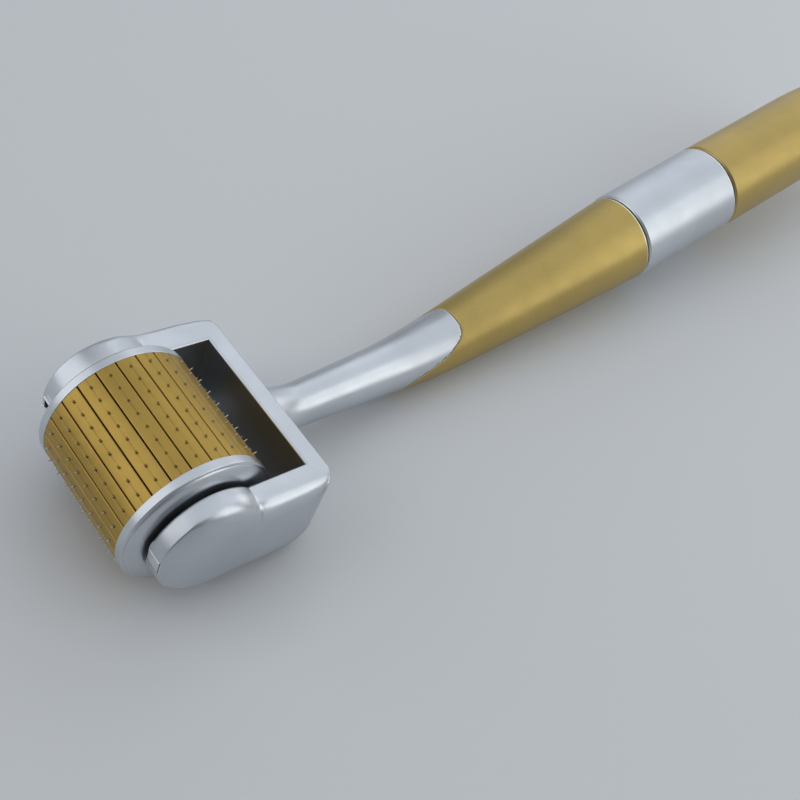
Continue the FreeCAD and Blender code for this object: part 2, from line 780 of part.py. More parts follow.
def spigot_cylinder(name, height):
    """Cylinder along the fork from the spigot's front end."""
    front = to_grip(value("bridge_outer") - value("spigot_depth"), value("neck_height"))
    cylinder = doc.addObject("Part::Cylinder", name)
    drive(cylinder, "Radius", dim("spigot_radius"))
    drive(cylinder, "Height", as_size(height))
    cylinder.Placement = Placement(front, Rotation(Vector(0, 0, 1), FORK_AXIS))
    return cylinder


def build_neck_stem(envelope):
    """Straight run, bend and tongue, with a tang, a spigot and a flare."""
    tang_front = -53.0
    spigot_lap = 2.0  # how far the spigot reaches into the neck
    trim_depth, trim_side = 6.0, 20.0
    clearance = seam_block("sleeve_clearance", value("seam"))
    neck = boolean("Cut", "neck_outer", envelope, clearance)
    tang = grip_cylinder("neck_tang", dim("tang_radius"), tang_front, -dim("tang_end"))
    neck = boolean("Fuse", "neck_with_tang", neck, tang)
    spigot = spigot_cylinder("neck_spigot", dim("spigot_depth") + spigot_lap)
    neck = boolean("Fuse", "neck_with_spigot", neck, spigot)
    flare = doc.addObject("Part::Cone", "neck_flare_cone")
    drive(flare, "Radius1", dim("neck_flare"))
    drive(flare, "Radius2", dim("neck_thin") - dim("flare_inset"))
    drive(flare, "Height", dim("flare_length"))
    flare.Placement = Placement(BRIDGE_POINT, Rotation(Vector(0, 0, 1), NECK_DIR))
    neck = boolean("Fuse", "neck_with_flare", neck, flare)

    # trim the neck's end flat against the bridge, except for the spigot
    trim = doc.addObject("Part::Box", "bridge_side")
    trim.Length, trim.Width, trim.Height = trim_depth, trim_side, trim_side
    turn = Rotation(Y_AXIS, value("grip_tilt"))
    corner = turn.multVec(Vector(-trim_depth, -trim_side / 2, -trim_side / 2))
    trim.Placement = Placement(BRIDGE_POINT + corner, turn)
    guard = spigot_cylinder("spigot_guard", trim_depth)
    trim = boolean("Cut", "bridge_side_open", trim, guard)
    keep(boolean("Cut", "neck_stem", neck, trim), GRIP)


def build_front_sleeve(envelope):
    """Tapered shell with the tongue's cut-out and two bores."""
    bore_front = -60.0
    region = seam_block("sleeve_region", 0.0)
    outer = boolean("Common", "front_outer", envelope, region)
    bore = grip_cylinder("front_bore", dim("tang_radius") + dim("fit_gap"), bore_front, 0)
    counterbore = grip_cylinder("front_counterbore", dim("core_nose") + dim("fit_gap"),
                                -dim("core_front") - dim("end_gap"), 0)
    bored = boolean("Cut", "front_bored", outer, bore)
    keep(boolean("Cut", "front_sleeve", bored, counterbore), GRIP)


def build_grip_ring():
    """Collar in the middle of the handle."""
    half, radius, chamfer = dim("ring_half"), dim("ring_radius"), dim("ring_chamfer")
    bore = dim("core_mid") + dim("fit_gap")
    body = turned_on_grip("grip_ring", [
        (-half, bore),
        (-half, radius - chamfer),
        (-half + chamfer, radius),
        (half - chamfer, radius),
        (half, radius - chamfer),
        (half, bore),
    ])
    keep(body, GRIP)


def build_handle_core():
    """Tube that joins neck, ring and both sleeves from the inside."""
    tang_bore = dim("tang_radius") + dim("fit_gap")
    tang_bore_end = -dim("tang_end") + dim("end_gap")
    shoulder = dim("ring_half") + dim("ring_gap")
    body = turned_on_grip("handle_core", [
        (-dim("core_front"), tang_bore),
        (-dim("core_front"), dim("core_nose")),
        (-shoulder, dim("core_nose")),
        (-shoulder, dim("core_mid")),
        (shoulder, dim("core_mid")),
        (shoulder, dim("core_tail")),
        (dim("core_rear"), dim("core_tail")),
        (dim("core_rear"), dim("core_bore")),
        (tang_bore_end, dim("core_bore")),
        (tang_bore_end, tang_bore),
    ])
    keep(body, GRIP)


def build_rear_sleeve():
    """Hollow tapered shell."""
    front = dim("ring_half") + dim("ring_gap")
    bore = dim("core_tail") + dim("fit_gap")
    body = turned_on_grip("rear_sleeve", [
        (front, bore),
        (front, dim("rear_radius") - dim("rear_chamfer")),
        (front + dim("rear_chamfer"), dim("rear_radius")),
        (dim("rear_even"), dim("rear_radius")),
        (dim("rear_taper"), dim("rear_taper_radius")),
        (dim("rear_end"), dim("rear_end_radius")),
        (dim("rear_end"), dim("rear_end_radius") - dim("rear_wall")),
        (dim("rear_taper"), bore),
    ])
    keep(body, GRIP)


def build_end_cap():
    """Plug with a rounded nose and a small flat."""
    plug = dim("rear_end_radius") - dim("rear_wall") - dim("fit_gap")
    plug_front = dim("rear_end") - dim("cap_plug")
    seat = dim("rear_end") + dim("fit_gap")
    body = turned_on_grip("end_cap", [
        (plug_front, 0),
        (plug_front, plug),
        (seat, plug),
        (seat, dim("rear_end_radius") - dim("cap_inset"), dim("cap_arc"), 1),
        (dim("cap_end"), dim("cap_flat")),
        (dim("cap_end"), 0),
    ])
    keep(body, GRIP)


# ------------------------------------------------------------------ build
build_drum_core()
for strip in range(STRIPS):
    build_needle_strip(strip)
build_needles()
build_drum_flange("drum_flange_right", 0.0)
build_drum_flange("drum_flange_left", 180.0)
build_axle_shaft()
build_head_fork()
build_axle_keeper("axle_keeper_right", 1.0)
build_axle_keeper("axle_keeper_left", -1.0)
stem_envelope = build_stem_envelope()
build_neck_stem(stem_envelope)
build_front_sleeve(stem_envelope)
build_grip_ring()
build_handle_core()
build_rear_sleeve()
build_end_cap()

# ----------------------------------------------------------------- export
doc.recompute()
failed = [o.Name for o in doc.Objects if "Invalid" in o.State or "Error" in o.State]
if failed:
    raise RuntimeError("failed objects: %s" % failed)
for piece in pieces_out:
    if piece.Shape.isNull() or not piece.Shape.isValid() or not piece.Shape.Solids:
        raise RuntimeError("%s holds no valid solid" % piece.Label)
for piece in pieces_out:
    piece.Shape.exportStep("parts/%s.step" % piece.Label)
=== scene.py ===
# A needle roller: a forked head carries a drum of 24 needle strips on an axle, and a curved neck
# joins it to a round handle. Shapes are modelled in millimetres in three frames:
#   HEAD: origin at the axle, x towards the handle, y along the axle, z up
#   GRIP: origin at the middle of the grip ring, x along the handle towards its tail
#   DRUM: origin at the axle, axes parallel to the world's
# "near" is the -y side and "far" the +y side.
import bpy, bmesh, math
from collections import namedtuple
from mathutils import Matrix, Vector


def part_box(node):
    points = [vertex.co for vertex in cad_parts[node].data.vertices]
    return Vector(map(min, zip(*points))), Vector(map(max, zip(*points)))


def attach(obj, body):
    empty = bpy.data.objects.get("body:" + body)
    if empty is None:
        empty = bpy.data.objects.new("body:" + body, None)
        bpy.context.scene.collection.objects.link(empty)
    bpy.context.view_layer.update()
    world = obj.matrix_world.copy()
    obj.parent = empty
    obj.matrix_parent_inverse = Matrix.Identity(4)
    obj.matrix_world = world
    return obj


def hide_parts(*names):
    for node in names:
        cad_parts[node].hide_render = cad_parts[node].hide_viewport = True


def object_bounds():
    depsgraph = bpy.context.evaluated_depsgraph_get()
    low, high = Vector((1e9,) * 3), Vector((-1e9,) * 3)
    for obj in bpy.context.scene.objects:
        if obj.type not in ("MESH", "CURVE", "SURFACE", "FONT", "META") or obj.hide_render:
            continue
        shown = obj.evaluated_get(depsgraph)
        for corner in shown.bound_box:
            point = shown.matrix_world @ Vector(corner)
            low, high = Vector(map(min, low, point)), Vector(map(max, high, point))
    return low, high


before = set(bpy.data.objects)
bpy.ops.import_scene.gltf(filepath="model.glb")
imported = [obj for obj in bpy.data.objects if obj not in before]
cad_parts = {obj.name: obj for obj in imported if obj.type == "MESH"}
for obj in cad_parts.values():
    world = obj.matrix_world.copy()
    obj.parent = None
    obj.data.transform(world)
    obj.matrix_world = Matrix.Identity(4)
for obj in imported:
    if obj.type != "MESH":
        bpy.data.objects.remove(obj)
cad_lo, cad_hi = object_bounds()
scene = bpy.context.scene

# --------------------------------------------------------------------- frames
HEAD_PITCH_DEG = 12.8       # the head's x axis dips towards the handle
GRIP_RISE_DEG = 5.7         # the handle rises towards its tail
axle_lo, axle_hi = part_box("axle_shaft")
AXLE = (axle_lo + axle_hi) / 2
MM = Matrix.Scale(0.001, 4)
HEAD_TURN = Matrix.Rotation(math.radians(HEAD_PITCH_DEG), 4, "Y")
GRIP_TURN = Matrix.Rotation(-math.radians(GRIP_RISE_DEG), 4, "Y")
HEAD = Matrix.Translation(AXLE) @ HEAD_TURN @ MM
GRIP = GRIP_TURN @ MM
DRUM = Matrix.Translation(AXLE) @ MM

STRIPS = 24
STRIP_STEP_DEG = 360 / STRIPS
FIRST_STRIP_DEG = 155.0 - HEAD_PITCH_DEG    # from +x towards +z


# ------------------------------------------------------------------ materials
class Graph:
    """A new material with one Principled shader, and methods that add nodes to it."""

    def __init__(self, name):
        self.material = bpy.data.materials.new(name)
        self.material.use_nodes = True
        self.tree = self.material.node_tree
        self.tree.nodes.clear()
        output = self.tree.nodes.new("ShaderNodeOutputMaterial")
        self.shader = self.tree.nodes.new("ShaderNodeBsdfPrincipled")
        self.tree.links.new(self.shader.outputs[0], output.inputs[0])

    def feed(self, node, inputs):
        """Links each input that is given a socket and sets each that is given a value."""
        for key, value in inputs.items():
            if isinstance(value, bpy.types.NodeSocket):
                self.tree.links.new(value, node.inputs[key])
            else:
                node.inputs[key].default_value = value

    def node(self, kind, inputs=None, **settings):
        node = self.tree.nodes.new("ShaderNode" + kind)
        for key, value in settings.items():
            setattr(node, key, value)
        self.feed(node, inputs or {})
        return node

    def coords(self, scale=(1, 1, 1)):
        source = self.node("TexCoord")
        mapping = self.node("Mapping", {"Scale": scale, "Vector": source.outputs["Object"]})
        return mapping.outputs["Vector"]

    def noise(self, vector, scale, detail=2.0, rough=0.5):
        inputs = {"Vector": vector, "Scale": scale, "Detail": detail, "Roughness": rough}
        return self.node("TexNoise", inputs).outputs["Fac"]

    def remap(self, value, source, target):
        """Maps a value from the range source to the range target."""
        return self.node("MapRange", {
            "From Min": source[0], "From Max": source[1],
            "To Min": target[0], "To Max": target[1], "Value": value}).outputs["Result"]

    def math(self, operation, a, b=0.0):
        return self.node("Math", {0: a, 1: b}, operation=operation).outputs[0]

    def mix(self, factor, a, b):
        """Mixes two colours; 6, 7 and output 2 are the colour sockets."""
        a, b = ((*c, 1) if isinstance(c, tuple) else c for c in (a, b))
        return self.node("Mix", {0: factor, 6: a, 7: b}, data_type="RGBA").outputs[2]


def rubbed_edges(g, patchiness, edge, edge_mm):
    """Mask of the edges: where a rounded-over normal parts from the true one."""
    bevel_node = g.node("Bevel", {"Radius": edge_mm * 0.001}, samples=4)
    geometry = g.node("NewGeometry")
    dot = g.node("VectorMath", {0: bevel_node.outputs[0], 1: geometry.outputs["Normal"]},
                 operation="DOT_PRODUCT")
    edges = g.remap(dot.outputs["Value"], (0.995, 0.90), (0.0, 1.0))
    return g.math("MULTIPLY", edges, g.remap(patchiness, (0.3, 0.7), (0.6 * edge, edge)))


def painted_rim_highlight(g, vector, patchiness, edges, rim):
    """Adds a painted highlight: a bright band from rim[0] to rim[1] mm along the handle,
    standing in for light caught on a rounded rim at a seam.
    """
    handle_axis = tuple(GRIP_TURN.to_3x3() @ Vector((1, 0, 0)) * 1000)
    along = g.node("VectorMath", {0: vector, 1: handle_axis}, operation="DOT_PRODUCT")
    along = along.outputs["Value"]
    highlight_mask = g.math("MULTIPLY",
                       g.remap(along, (rim[0] - 0.04, rim[0] + 0.02), (0.0, 1.0)),
                       g.remap(along, (rim[1] - 0.02, rim[1] + 0.04), (1.0, 0.0)))
    return g.math("MAXIMUM", edges,
                  g.math("MULTIPLY", highlight_mask, g.remap(patchiness, (0.3, 0.7), (0.75, 1.0))))


def strip_seam_shade(g, vector, mid, colour, seam):
    """Draws a patchy darker line along the middle of each drum strip: a dark seam, with painted
    shade in the middle groove and from the needles.
    """
    offset = g.node("VectorMath", {0: vector, 1: tuple(AXLE)}, operation="SUBTRACT")
    xyz = g.node("SeparateXYZ", {0: offset.outputs[0]})
    turn = g.math("ARCTAN2", xyz.outputs["Z"], xyz.outputs["X"])
    turn = g.math("DIVIDE", g.math("SUBTRACT", turn, math.radians(FIRST_STRIP_DEG)),
                  math.radians(STRIP_STEP_DEG))
    # the half puts a strip's middle at 0.5, and the 20 whole strips keep the value positive
    turn = g.math("FRACT", g.math("ADD", turn, 20.5))
    away = g.math("ABSOLUTE", g.math("SUBTRACT", turn, 0.5))
    line = g.remap(away, (0.012, 0.05), (1.0, 0.0))
    patchy = g.math("MULTIPLY", line, g.remap(mid, (0.35, 0.65), (0.05, 0.5)))
    return g.mix(patchy, colour, seam)


def satin(name, base, wear_and_highlight, rough, metallic=1.0, grain_mm=0.004, streak=None, coat=0.0,
          blotch=0.03, edge=0.7, edge_mm=0.22, rim=None, seam=None):
    """Satin surface: fine grain, faint blotches, edges rubbed a little brighter and smoother.

    The second colour is the rubbed colour of the edges and also the colour of the painted
    highlight band that rim places; blotch is the spread of roughness, edge and edge_mm the
    strength and width of the rubbed edges, streak the noise scale of brushing along each axis.
    """
    g = Graph(name)
    vector = g.coords()
    fine = g.noise(vector, scale=11000.0, rough=0.55)
    mid = g.noise(vector, scale=420.0, detail=3.0)
    broad = g.noise(vector, scale=90.0)
    patchiness = g.noise(vector, scale=2600.0)
    edges = rubbed_edges(g, patchiness, edge, edge_mm)
    # on rims, painted highlight: a bright band added to the edge mask
    if rim:
        edges = painted_rim_highlight(g, vector, patchiness, edges, rim)

    darker = tuple(c * 0.90 for c in base)
    colour = g.mix(g.remap(broad, (0.35, 0.65), (0.0, 1.0)), base, darker)
    colour = g.mix(g.remap(fine, (0.40, 0.75), (0.0, 0.16)), colour, wear_and_highlight)
    # rubbed edges, and on rims the painted highlight band, in the second colour
    colour = g.mix(edges, colour, wear_and_highlight)
    # darker middle line of the strips: a seam with painted shade
    if seam:
        colour = strip_seam_shade(g, vector, mid, colour, seam)

    roughness = g.math("ADD", g.remap(mid, (0.3, 0.7), (rough - blotch, rough + blotch)),
                       g.remap(fine, (0.3, 0.7), (-0.02, 0.02)))
    smoothing = 0.16 if rim else 0.07
    roughness = g.math("SUBTRACT", roughness, g.math("MULTIPLY", edges, smoothing))

    height = fine
    if streak:
        brushed = g.coords(streak)
        height = g.math("ADD", g.math("MULTIPLY", fine, 0.5),
                        g.noise(brushed, scale=1.0, detail=3.0, rough=0.6))
    bump = g.node("Bump", {"Strength": 0.25, "Distance": grain_mm * 0.001, "Height": height})
    g.feed(g.shader, {
        "Base Color": colour, "Roughness": roughness, "Metallic": metallic,
        "Coat Weight": coat, "Coat Roughness": 0.3, "Normal": bump.outputs["Normal"]})
    return g.material


MATERIALS = {   # by slot name
    "head_silver": satin("satin_silver", base=(0.60, 0.625, 0.665), wear_and_highlight=(0.80, 0.82, 0.84),
                         rough=0.35),
    # rim: painted highlight band on the ring's rear rim
    "ring_silver": satin("satin_ring", base=(0.60, 0.63, 0.67), wear_and_highlight=(0.92, 0.93, 0.94),
                         rough=0.40, edge=0.9, edge_mm=0.3, rim=(9.05, 9.6)),
    "flange_silver": satin("satin_flange", base=(0.60, 0.625, 0.66), wear_and_highlight=(0.80, 0.82, 0.84),
                           rough=0.33, edge=0.4),
    # rim: painted highlight band on the front sleeve's rear rim
    "sleeve_gold": satin("satin_gold", base=(0.49, 0.346, 0.088), wear_and_highlight=(0.90, 0.86, 0.68),
                         # the whitish second colour is edge wear and also the painted rim
                         # highlight
                         rough=0.45, coat=0.35, edge=0.8, edge_mm=0.25, rim=(-9.98, -9.6)),
    "strip_bronze": satin("strip_bronze", base=(0.46, 0.300, 0.070), wear_and_highlight=(0.66, 0.50, 0.22),
                          rough=0.42, streak=(5200.0, 90.0, 5200.0), grain_mm=0.008,
                          # seam: colour of the middle line, a dark seam with painted shade
                          edge=0.45, edge_mm=0.1, seam=(0.17, 0.10, 0.02)),
    "hub_plastic": satin("hub_plastic", base=(0.035, 0.033, 0.03), wear_and_highlight=(0.08, 0.08, 0.075),
                         rough=0.5, metallic=0.0, edge=0.2),
    "needle_steel": satin("needle_steel", base=(0.55, 0.52, 0.45), wear_and_highlight=(0.85, 0.83, 0.78),
                          rough=0.22, edge=0.2, edge_mm=0.05),
    "axle_steel": satin("axle_steel", base=(0.55, 0.56, 0.58), wear_and_highlight=(0.8, 0.8, 0.82),
                        rough=0.25),
    "keeper_chrome": satin("keeper_chrome", base=(0.75, 0.77, 0.80), wear_and_highlight=(0.95, 0.95, 0.96),
                           rough=0.16, blotch=0.02, edge_mm=0.08),
}

# slots of the CAD pieces; those not listed are needle strips
CAD_SLOTS = {
    "head_fork": "head_silver", "neck_stem": "head_silver",
    "front_sleeve": "sleeve_gold", "rear_sleeve": "sleeve_gold", "end_cap": "sleeve_gold",
    "grip_ring": "ring_silver", "handle_core": "hub_plastic", "drum_core": "hub_plastic",
    "needles": "needle_steel", "axle_shaft": "axle_steel",
    "drum_flange_right": "flange_silver", "drum_flange_left": "flange_silver",
    "axle_keeper_right": "keeper_chrome", "axle_keeper_left": "keeper_chrome"}
for node_name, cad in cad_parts.items():
    cad.data.materials.clear()
    cad.data.materials.append(MATERIALS[CAD_SLOTS.get(node_name, "strip_bronze")])


# ----------------------------------------------------------------- mesh tools
def link(obj):
    scene.collection.objects.link(obj)
    return obj


def clean_mesh(verts, faces, merge=1e-5):
    """A closed mesh with outward normals."""
    me = bpy.data.meshes.new("work")
    me.from_pydata([tuple(v) for v in verts], [], faces)
    bm = bmesh.new()
    bm.from_mesh(me)
    tidy(bm, me, merge)
    return me


def tidy(bm, me, merge):
    """Merges close vertices, turns the normals outwards and writes bm back to me."""
    bmesh.ops.remove_doubles(bm, verts=bm.verts, dist=merge)
    bmesh.ops.dissolve_degenerate(bm, edges=bm.edges, dist=merge)
    bmesh.ops.recalc_face_normals(bm, faces=bm.faces)
    bm.to_mesh(me)
    bm.free()


def work_object(me):
    return link(bpy.data.objects.new("work", me))


def evaluate(obj):
    """Replaces an object by its mesh with the modifiers applied."""
    graph = bpy.context.evaluated_depsgraph_get()
    graph.update()
    me = bpy.data.meshes.new_from_object(obj.evaluated_get(graph))
    bpy.data.objects.remove(obj)
    return me


def boolean(me, operation, *cutters):
    obj = work_object(me)
    others = [work_object(cutter) for cutter in cutters]
    for other in others:
        mod = obj.modifiers.new("cut", "BOOLEAN")
        mod.operation, mod.object, mod.solver = operation, other, "EXACT"
    out = evaluate(obj)
    for other in others:
        bpy.data.objects.remove(other)
    return out


def bevel(me, pick, offset, segments):
    """Rounds the edges that pick(edge) accepts."""
    bm = bmesh.new()
    bm.from_mesh(me)
    bm.edges.ensure_lookup_table()
    edges = [e for e in bm.edges if len(e.link_faces) == 2 and pick(e)]
    bmesh.ops.bevel(bm, geom=edges, offset=offset, segments=segments, profile=0.5,
                    affect="EDGES", clamp_overlap=False, offset_type="OFFSET")
    tidy(bm, me, merge=5e-4)
    return me


def sharp(edge, degrees):
    return edge.calc_face_angle() > math.radians(degrees)


def piece(name, me, matrix, body, slot, node, angle=38.0):
    """Turns a millimetre mesh into the finished piece that stands for a CAD node."""
    for polygon in me.polygons:
        polygon.use_smooth = True
    me.set_sharp_from_angle(angle=math.radians(angle))
    obj = work_object(me)
    mod = obj.modifiers.new("normals", "WEIGHTED_NORMAL")
    mod.mode, mod.weight, mod.keep_sharp = "FACE_AREA", 50, True
    me = evaluate(obj)
    me.transform(matrix)
    me.name = name
    me.materials.clear()
    me.materials.append(MATERIALS[slot])
    obj = link(bpy.data.objects.new(name, me))
    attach(obj, body)
    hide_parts(node)


def rounded(points, closed=False, steps=5, support=0.14):
    """Outline of (x, r) or (x, r, fillet) points, with the fillets turned into arcs.

    Long edges get an extra point at the distance support from each end.
    """
    count = len(points)
    arcs = []
    for i, point in enumerate(points):
        if len(point) == 2:
            arcs.append(tuple(point))
            continue
        corner = Vector(point[:2])
        before, after = Vector(points[i - 1][:2]), Vector(points[(i + 1) % count][:2])
        to_before, to_after = (before - corner).normalized(), (after - corner).normalized()
        half = to_before.angle(to_after) / 2
        cut = min(point[2] / math.tan(half), (before - corner).length * 0.49,
                  (after - corner).length * 0.49)
        radius = cut * math.tan(half)
        centre = corner + (to_before + to_after).normalized() * (radius / math.sin(half))
        start, end = corner + to_before * cut - centre, corner + to_after * cut - centre
        turn = start.angle(end)
        for k in range(steps + 1):
            w = k / steps
            spoke = start * math.sin((1 - w) * turn) + end * math.sin(w * turn)
            arcs.append(tuple(centre + spoke / math.sin(turn)))
    full = []
    count = len(arcs)
    for i in range(count if closed else count - 1):
        a, b = Vector(arcs[i]), Vector(arcs[(i + 1) % count])
        full.append(tuple(a))
        if (b - a).length > support * 3:
            full.append(tuple(a.lerp(b, support / (b - a).length)))
            full.append(tuple(b.lerp(a, support / (b - a).length)))
    if not closed:
        full.append(arcs[-1])
    return full


def lathe(outline, segments, closed=False, axis="X"):
    """Turns (distance along the axis, radius) points about the X or the Y axis."""
    verts, faces, rings = [], [], []
    for x, r in outline:
        if abs(r) < 1e-6:
            rings.append([len(verts)])
            verts.append((x, 0, 0))
            continue
        rings.append(list(range(len(verts), len(verts) + segments)))
        for k in range(segments):
            a = 2 * math.pi * k / segments
            c, s = r * math.cos(a), r * math.sin(a)
            verts.append((x, c, s) if axis == "X" else (s, x, c))
    pairs = list(zip(rings[:-1], rings[1:]))
    if closed:
        pairs.append((rings[-1], rings[0]))
    for a, b in pairs:
        for k in range(segments):
            k2 = (k + 1) % segments
            if len(a) == 1:
                faces.append((a[0], b[k], b[k2]))
            elif len(b) == 1:
                faces.append((a[k], b[0], a[k2]))
            else:
                faces.append((a[k], b[k], b[k2], a[k2]))
    return clean_mesh(verts, faces)


def band(low, high):
    """Quads between two closed loops of vertex indices."""
    n = len(low)
    return [(low[i], low[(i + 1) % n], high[(i + 1) % n], high[i]) for i in range(n)]


def skin(loops):
    """Vertices, side faces and the two end faces of a stack of equal loops."""
    n = len(loops[0])
    index = [list(range(j * n, (j + 1) * n)) for j in range(len(loops))]
    sides = [face for low, high in zip(index, index[1:]) for face in band(low, high)]
    return sum(loops, []), sides, [tuple(index[0]), tuple(index[-1])]


def prism(outline, lo, hi):
    """Straight solid over an (x, z) outline, from y = lo to y = hi."""
    verts, sides, ends = skin([[(x, y, z) for x, z in outline] for y in (lo, hi)])
    return clean_mesh(verts, ends + sides)


def smoothstep(x, lo, hi):
    t = max(0.0, min(1.0, (x - lo) / (hi - lo)))
    return t * t * (3 - 2 * t)


def catmull_rom(p0, p1, p2, p3, t):
    """Point at t = 0..1 between p1 and p2."""
    return 0.5 * (p1 * 2 + (p2 - p0) * t + (p0 * 2 - p1 * 5 + p2 * 4 - p3) * t * t
                  + (p1 * 3 - p0 - p2 * 3 + p3) * t ** 3)


def curve_through(points, steps):
    """Catmull-Rom curve through 2-D points."""
    points = [Vector(p) for p in points]
    padded = [points[0] * 2 - points[1]] + points + [points[-1] * 2 - points[-2]]
    out = [catmull_rom(*padded[i:i + 4], k / steps)
           for i in range(len(points) - 1) for k in range(steps)]
    return out + [points[-1]]


# ----------------------------------------------------------------- fork (HEAD)
BOSS_R = 7.5                # round front end about the axle; also the depth of the underside
TOP_Z = 5.73                # flat top of the arms
REAR_X = 15.93
OUT_Y, IN_Y = 15.15, 11.1   # crown of the outer faces, inner faces of the arms
BRIDGE_X = 13.39            # front face of the bridge that joins the arms
LOW_REAR_R, TOP_REAR_R = 4.4, 0.3
SPINE_X, SPINE_Z = 9.5, -0.9    # rear end of the line on which the outer faces close
DOME_SHARE = 0.7            # part of the way to the spine over which an outer face domes
WINDOW_FRONT, WINDOW_HIGH = -20, 20.0   # far enough to clear the block
FLARE_X, FLARE_R = 7.0, 0.30

# Stations of (edge height in y, edge roundness, draft), as a pair of tables: far arm, near arm.
# First column: degrees round the boss, from straight up over the front to straight down.
BOSS_EDGE = (
    [(90, 14.4, 0.9, 0.0), (104, 14.2, 0.4, 0.05), (122, 14.15, 0.16, 0.06),
     (188, 14.1, 0.16, 0.06), (214, 14.2, 0.6, 0.03), (240, 14.45, 1.6, 0.0),
     (270, 14.6, 2.0, 0.0)],
    [(90, 13.95, 1.35, 0.04), (100, 13.8, 0.9, 0.08), (111, 13.68, 0.5, 0.12),
     (130, 13.55, 0.16, 0.16), (188, 13.55, 0.16, 0.16), (214, 13.9, 0.7, 0.06),
     (240, 14.4, 1.9, 0.0), (270, 14.55, 2.3, 0.0)])
# First column: x along the top.
TOP_EDGE = (
    [(0.0, 14.4, 0.9, 0.0), (2.2, 14.6, 0.9, 0.0), (4.6, 14.95, 0.8, 0.0),
     (6.5, 15.05, 0.7, 0.0), (10.5, 15.0, 0.65, 0.0), (13.5, 14.8, 0.7, 0.0),
     (15.93, 14.4, 0.9, 0.0)],
    [(0.0, 13.95, 1.35, 0.04), (2.2, 14.25, 1.75, 0.0), (4.6, 14.6, 2.3, 0.0),
     (6.5, 14.72, 2.4, 0.0), (10.5, 14.7, 2.1, 0.0), (13.5, 14.55, 1.8, 0.0),
     (15.93, 14.3, 1.6, 0.0)])
# First column: z up the rear.
REAR_EDGE = (
    [(-3.1, 14.4, 2.2, 0.0), (1.5, 14.4, 2.0, 0.0), (5.7, 14.4, 0.9, 0.0)],
    [(-3.1, 14.35, 2.3, 0.0), (1.5, 14.35, 2.1, 0.0), (5.7, 14.25, 1.5, 0.0)])
UNDER_EDGE = ((14.6, 2.0, 0.0), (14.55, 2.3, 0.0))

# x stations shared by the top and the underside, and those further back on the top
ARM_X = [0.5, 1.0, 1.5, 2.0, 2.5, 3.0, 3.45, 3.8, 4.1, 4.3, 4.5, 4.638, 4.74, 4.84, 4.94, 5.03,
         5.12, 5.26, 5.5, 5.9, 6.5, 7.3, 8.0, 8.75, 9.5]
TOP_REAR_X = [15.3, 14.9, 14.45, 14.0, 13.4, 12.7, 11.9, 11.1, 10.3]
REAR_STATIONS_Z = [-2.2, -1.2, -0.2, 0.8, 1.8, 2.8, 3.4, 3.85, 4.3, 4.75, 5.15]

# spine_x, spine_z: where the outer face closes; edges: one (height, roundness, draft) per arm
Row = namedtuple("Row", "x z spine_x spine_z edges on_top")


def look_up(x, rows):
    """Smooth look-up in (x, a, b, ...) rows."""
    if x <= rows[0][0]:
        return rows[0][1:]
    for low, high in zip(rows[:-1], rows[1:]):
        if x <= high[0]:
            w = smoothstep(x, low[0], high[0])
            return tuple(a + (b - a) * w for a, b in zip(low[1:], high[1:]))
    return rows[-1][1:]


def edges_at(x, tables):
    return tuple(look_up(x, table) for table in tables)


def top_z(x, hollow_r=0.75):
    """Upper outline of an arm: boss circle, hollow, flat top."""
    centre_z = TOP_Z + hollow_r
    centre_x = math.sqrt((BOSS_R + hollow_r) ** 2 - centre_z * centre_z)
    if x < centre_x * BOSS_R / (BOSS_R + hollow_r):
        return math.sqrt(BOSS_R ** 2 - x * x)
    if x < centre_x:
        return centre_z - math.sqrt(hollow_r * hollow_r - (centre_x - x) ** 2)
    return TOP_Z


def fork_outline():
    """Side outline: round the boss, back along the underside, up the rear, forward on top."""
    rows = []

    def add(x, z, edges, spine=(SPINE_X, SPINE_Z), on_top=False):
        rows.append(Row(x, z, *spine, edges, on_top))

    def spine_below(x):
        return x, SPINE_Z * smoothstep(x, 0.0, SPINE_X)

    for k in range(73):
        degrees = 90 + 180 * k / 72
        a = math.radians(degrees)
        add(BOSS_R * math.cos(a), BOSS_R * math.sin(a), edges_at(degrees, BOSS_EDGE), (0.0, 0.0))
    for x in ARM_X:
        add(x, -BOSS_R, UNDER_EDGE, spine_below(x))
    for x in (10.3, 11.0):
        add(x, -BOSS_R, UNDER_EDGE)
    for k in range(17):
        w = k / 16
        a = math.radians(-90 + 90 * w)
        add(REAR_X - LOW_REAR_R + LOW_REAR_R * math.cos(a),
            -BOSS_R + LOW_REAR_R + LOW_REAR_R * math.sin(a),
            ((14.6 - 0.2 * w, 2.0 + 0.2 * w, 0.0), (14.55 - 0.2 * w, 2.3, 0.0)))
    for z in REAR_STATIONS_Z:
        add(REAR_X, z, edges_at(z, REAR_EDGE))
    for k in range(5):
        a = math.radians(90 * k / 4)
        add(REAR_X - TOP_REAR_R + TOP_REAR_R * math.cos(a),
            TOP_Z - TOP_REAR_R + TOP_REAR_R * math.sin(a), edges_at(TOP_Z, REAR_EDGE))
    for x in TOP_REAR_X:
        add(x, TOP_Z, edges_at(x, TOP_EDGE), on_top=True)
    for x in reversed(ARM_X):
        add(x, top_z(x), edges_at(x, TOP_EDGE), spine_below(x), on_top=True)
    return rows


def inward_normals(rows):
    """Normals of the outline, turned towards the spine."""
    normals = []
    for i, row in enumerate(rows):
        before, after = rows[i - 1], rows[(i + 1) % len(rows)]
        along = Vector((after.x - before.x, after.z - before.z)).normalized()
        normal = Vector((along.y, -along.x))
        if normal.dot(Vector((row.spine_x - row.x, row.spine_z - row.z))) < 0:
            normal = -normal
        normals.append(normal)
    return normals


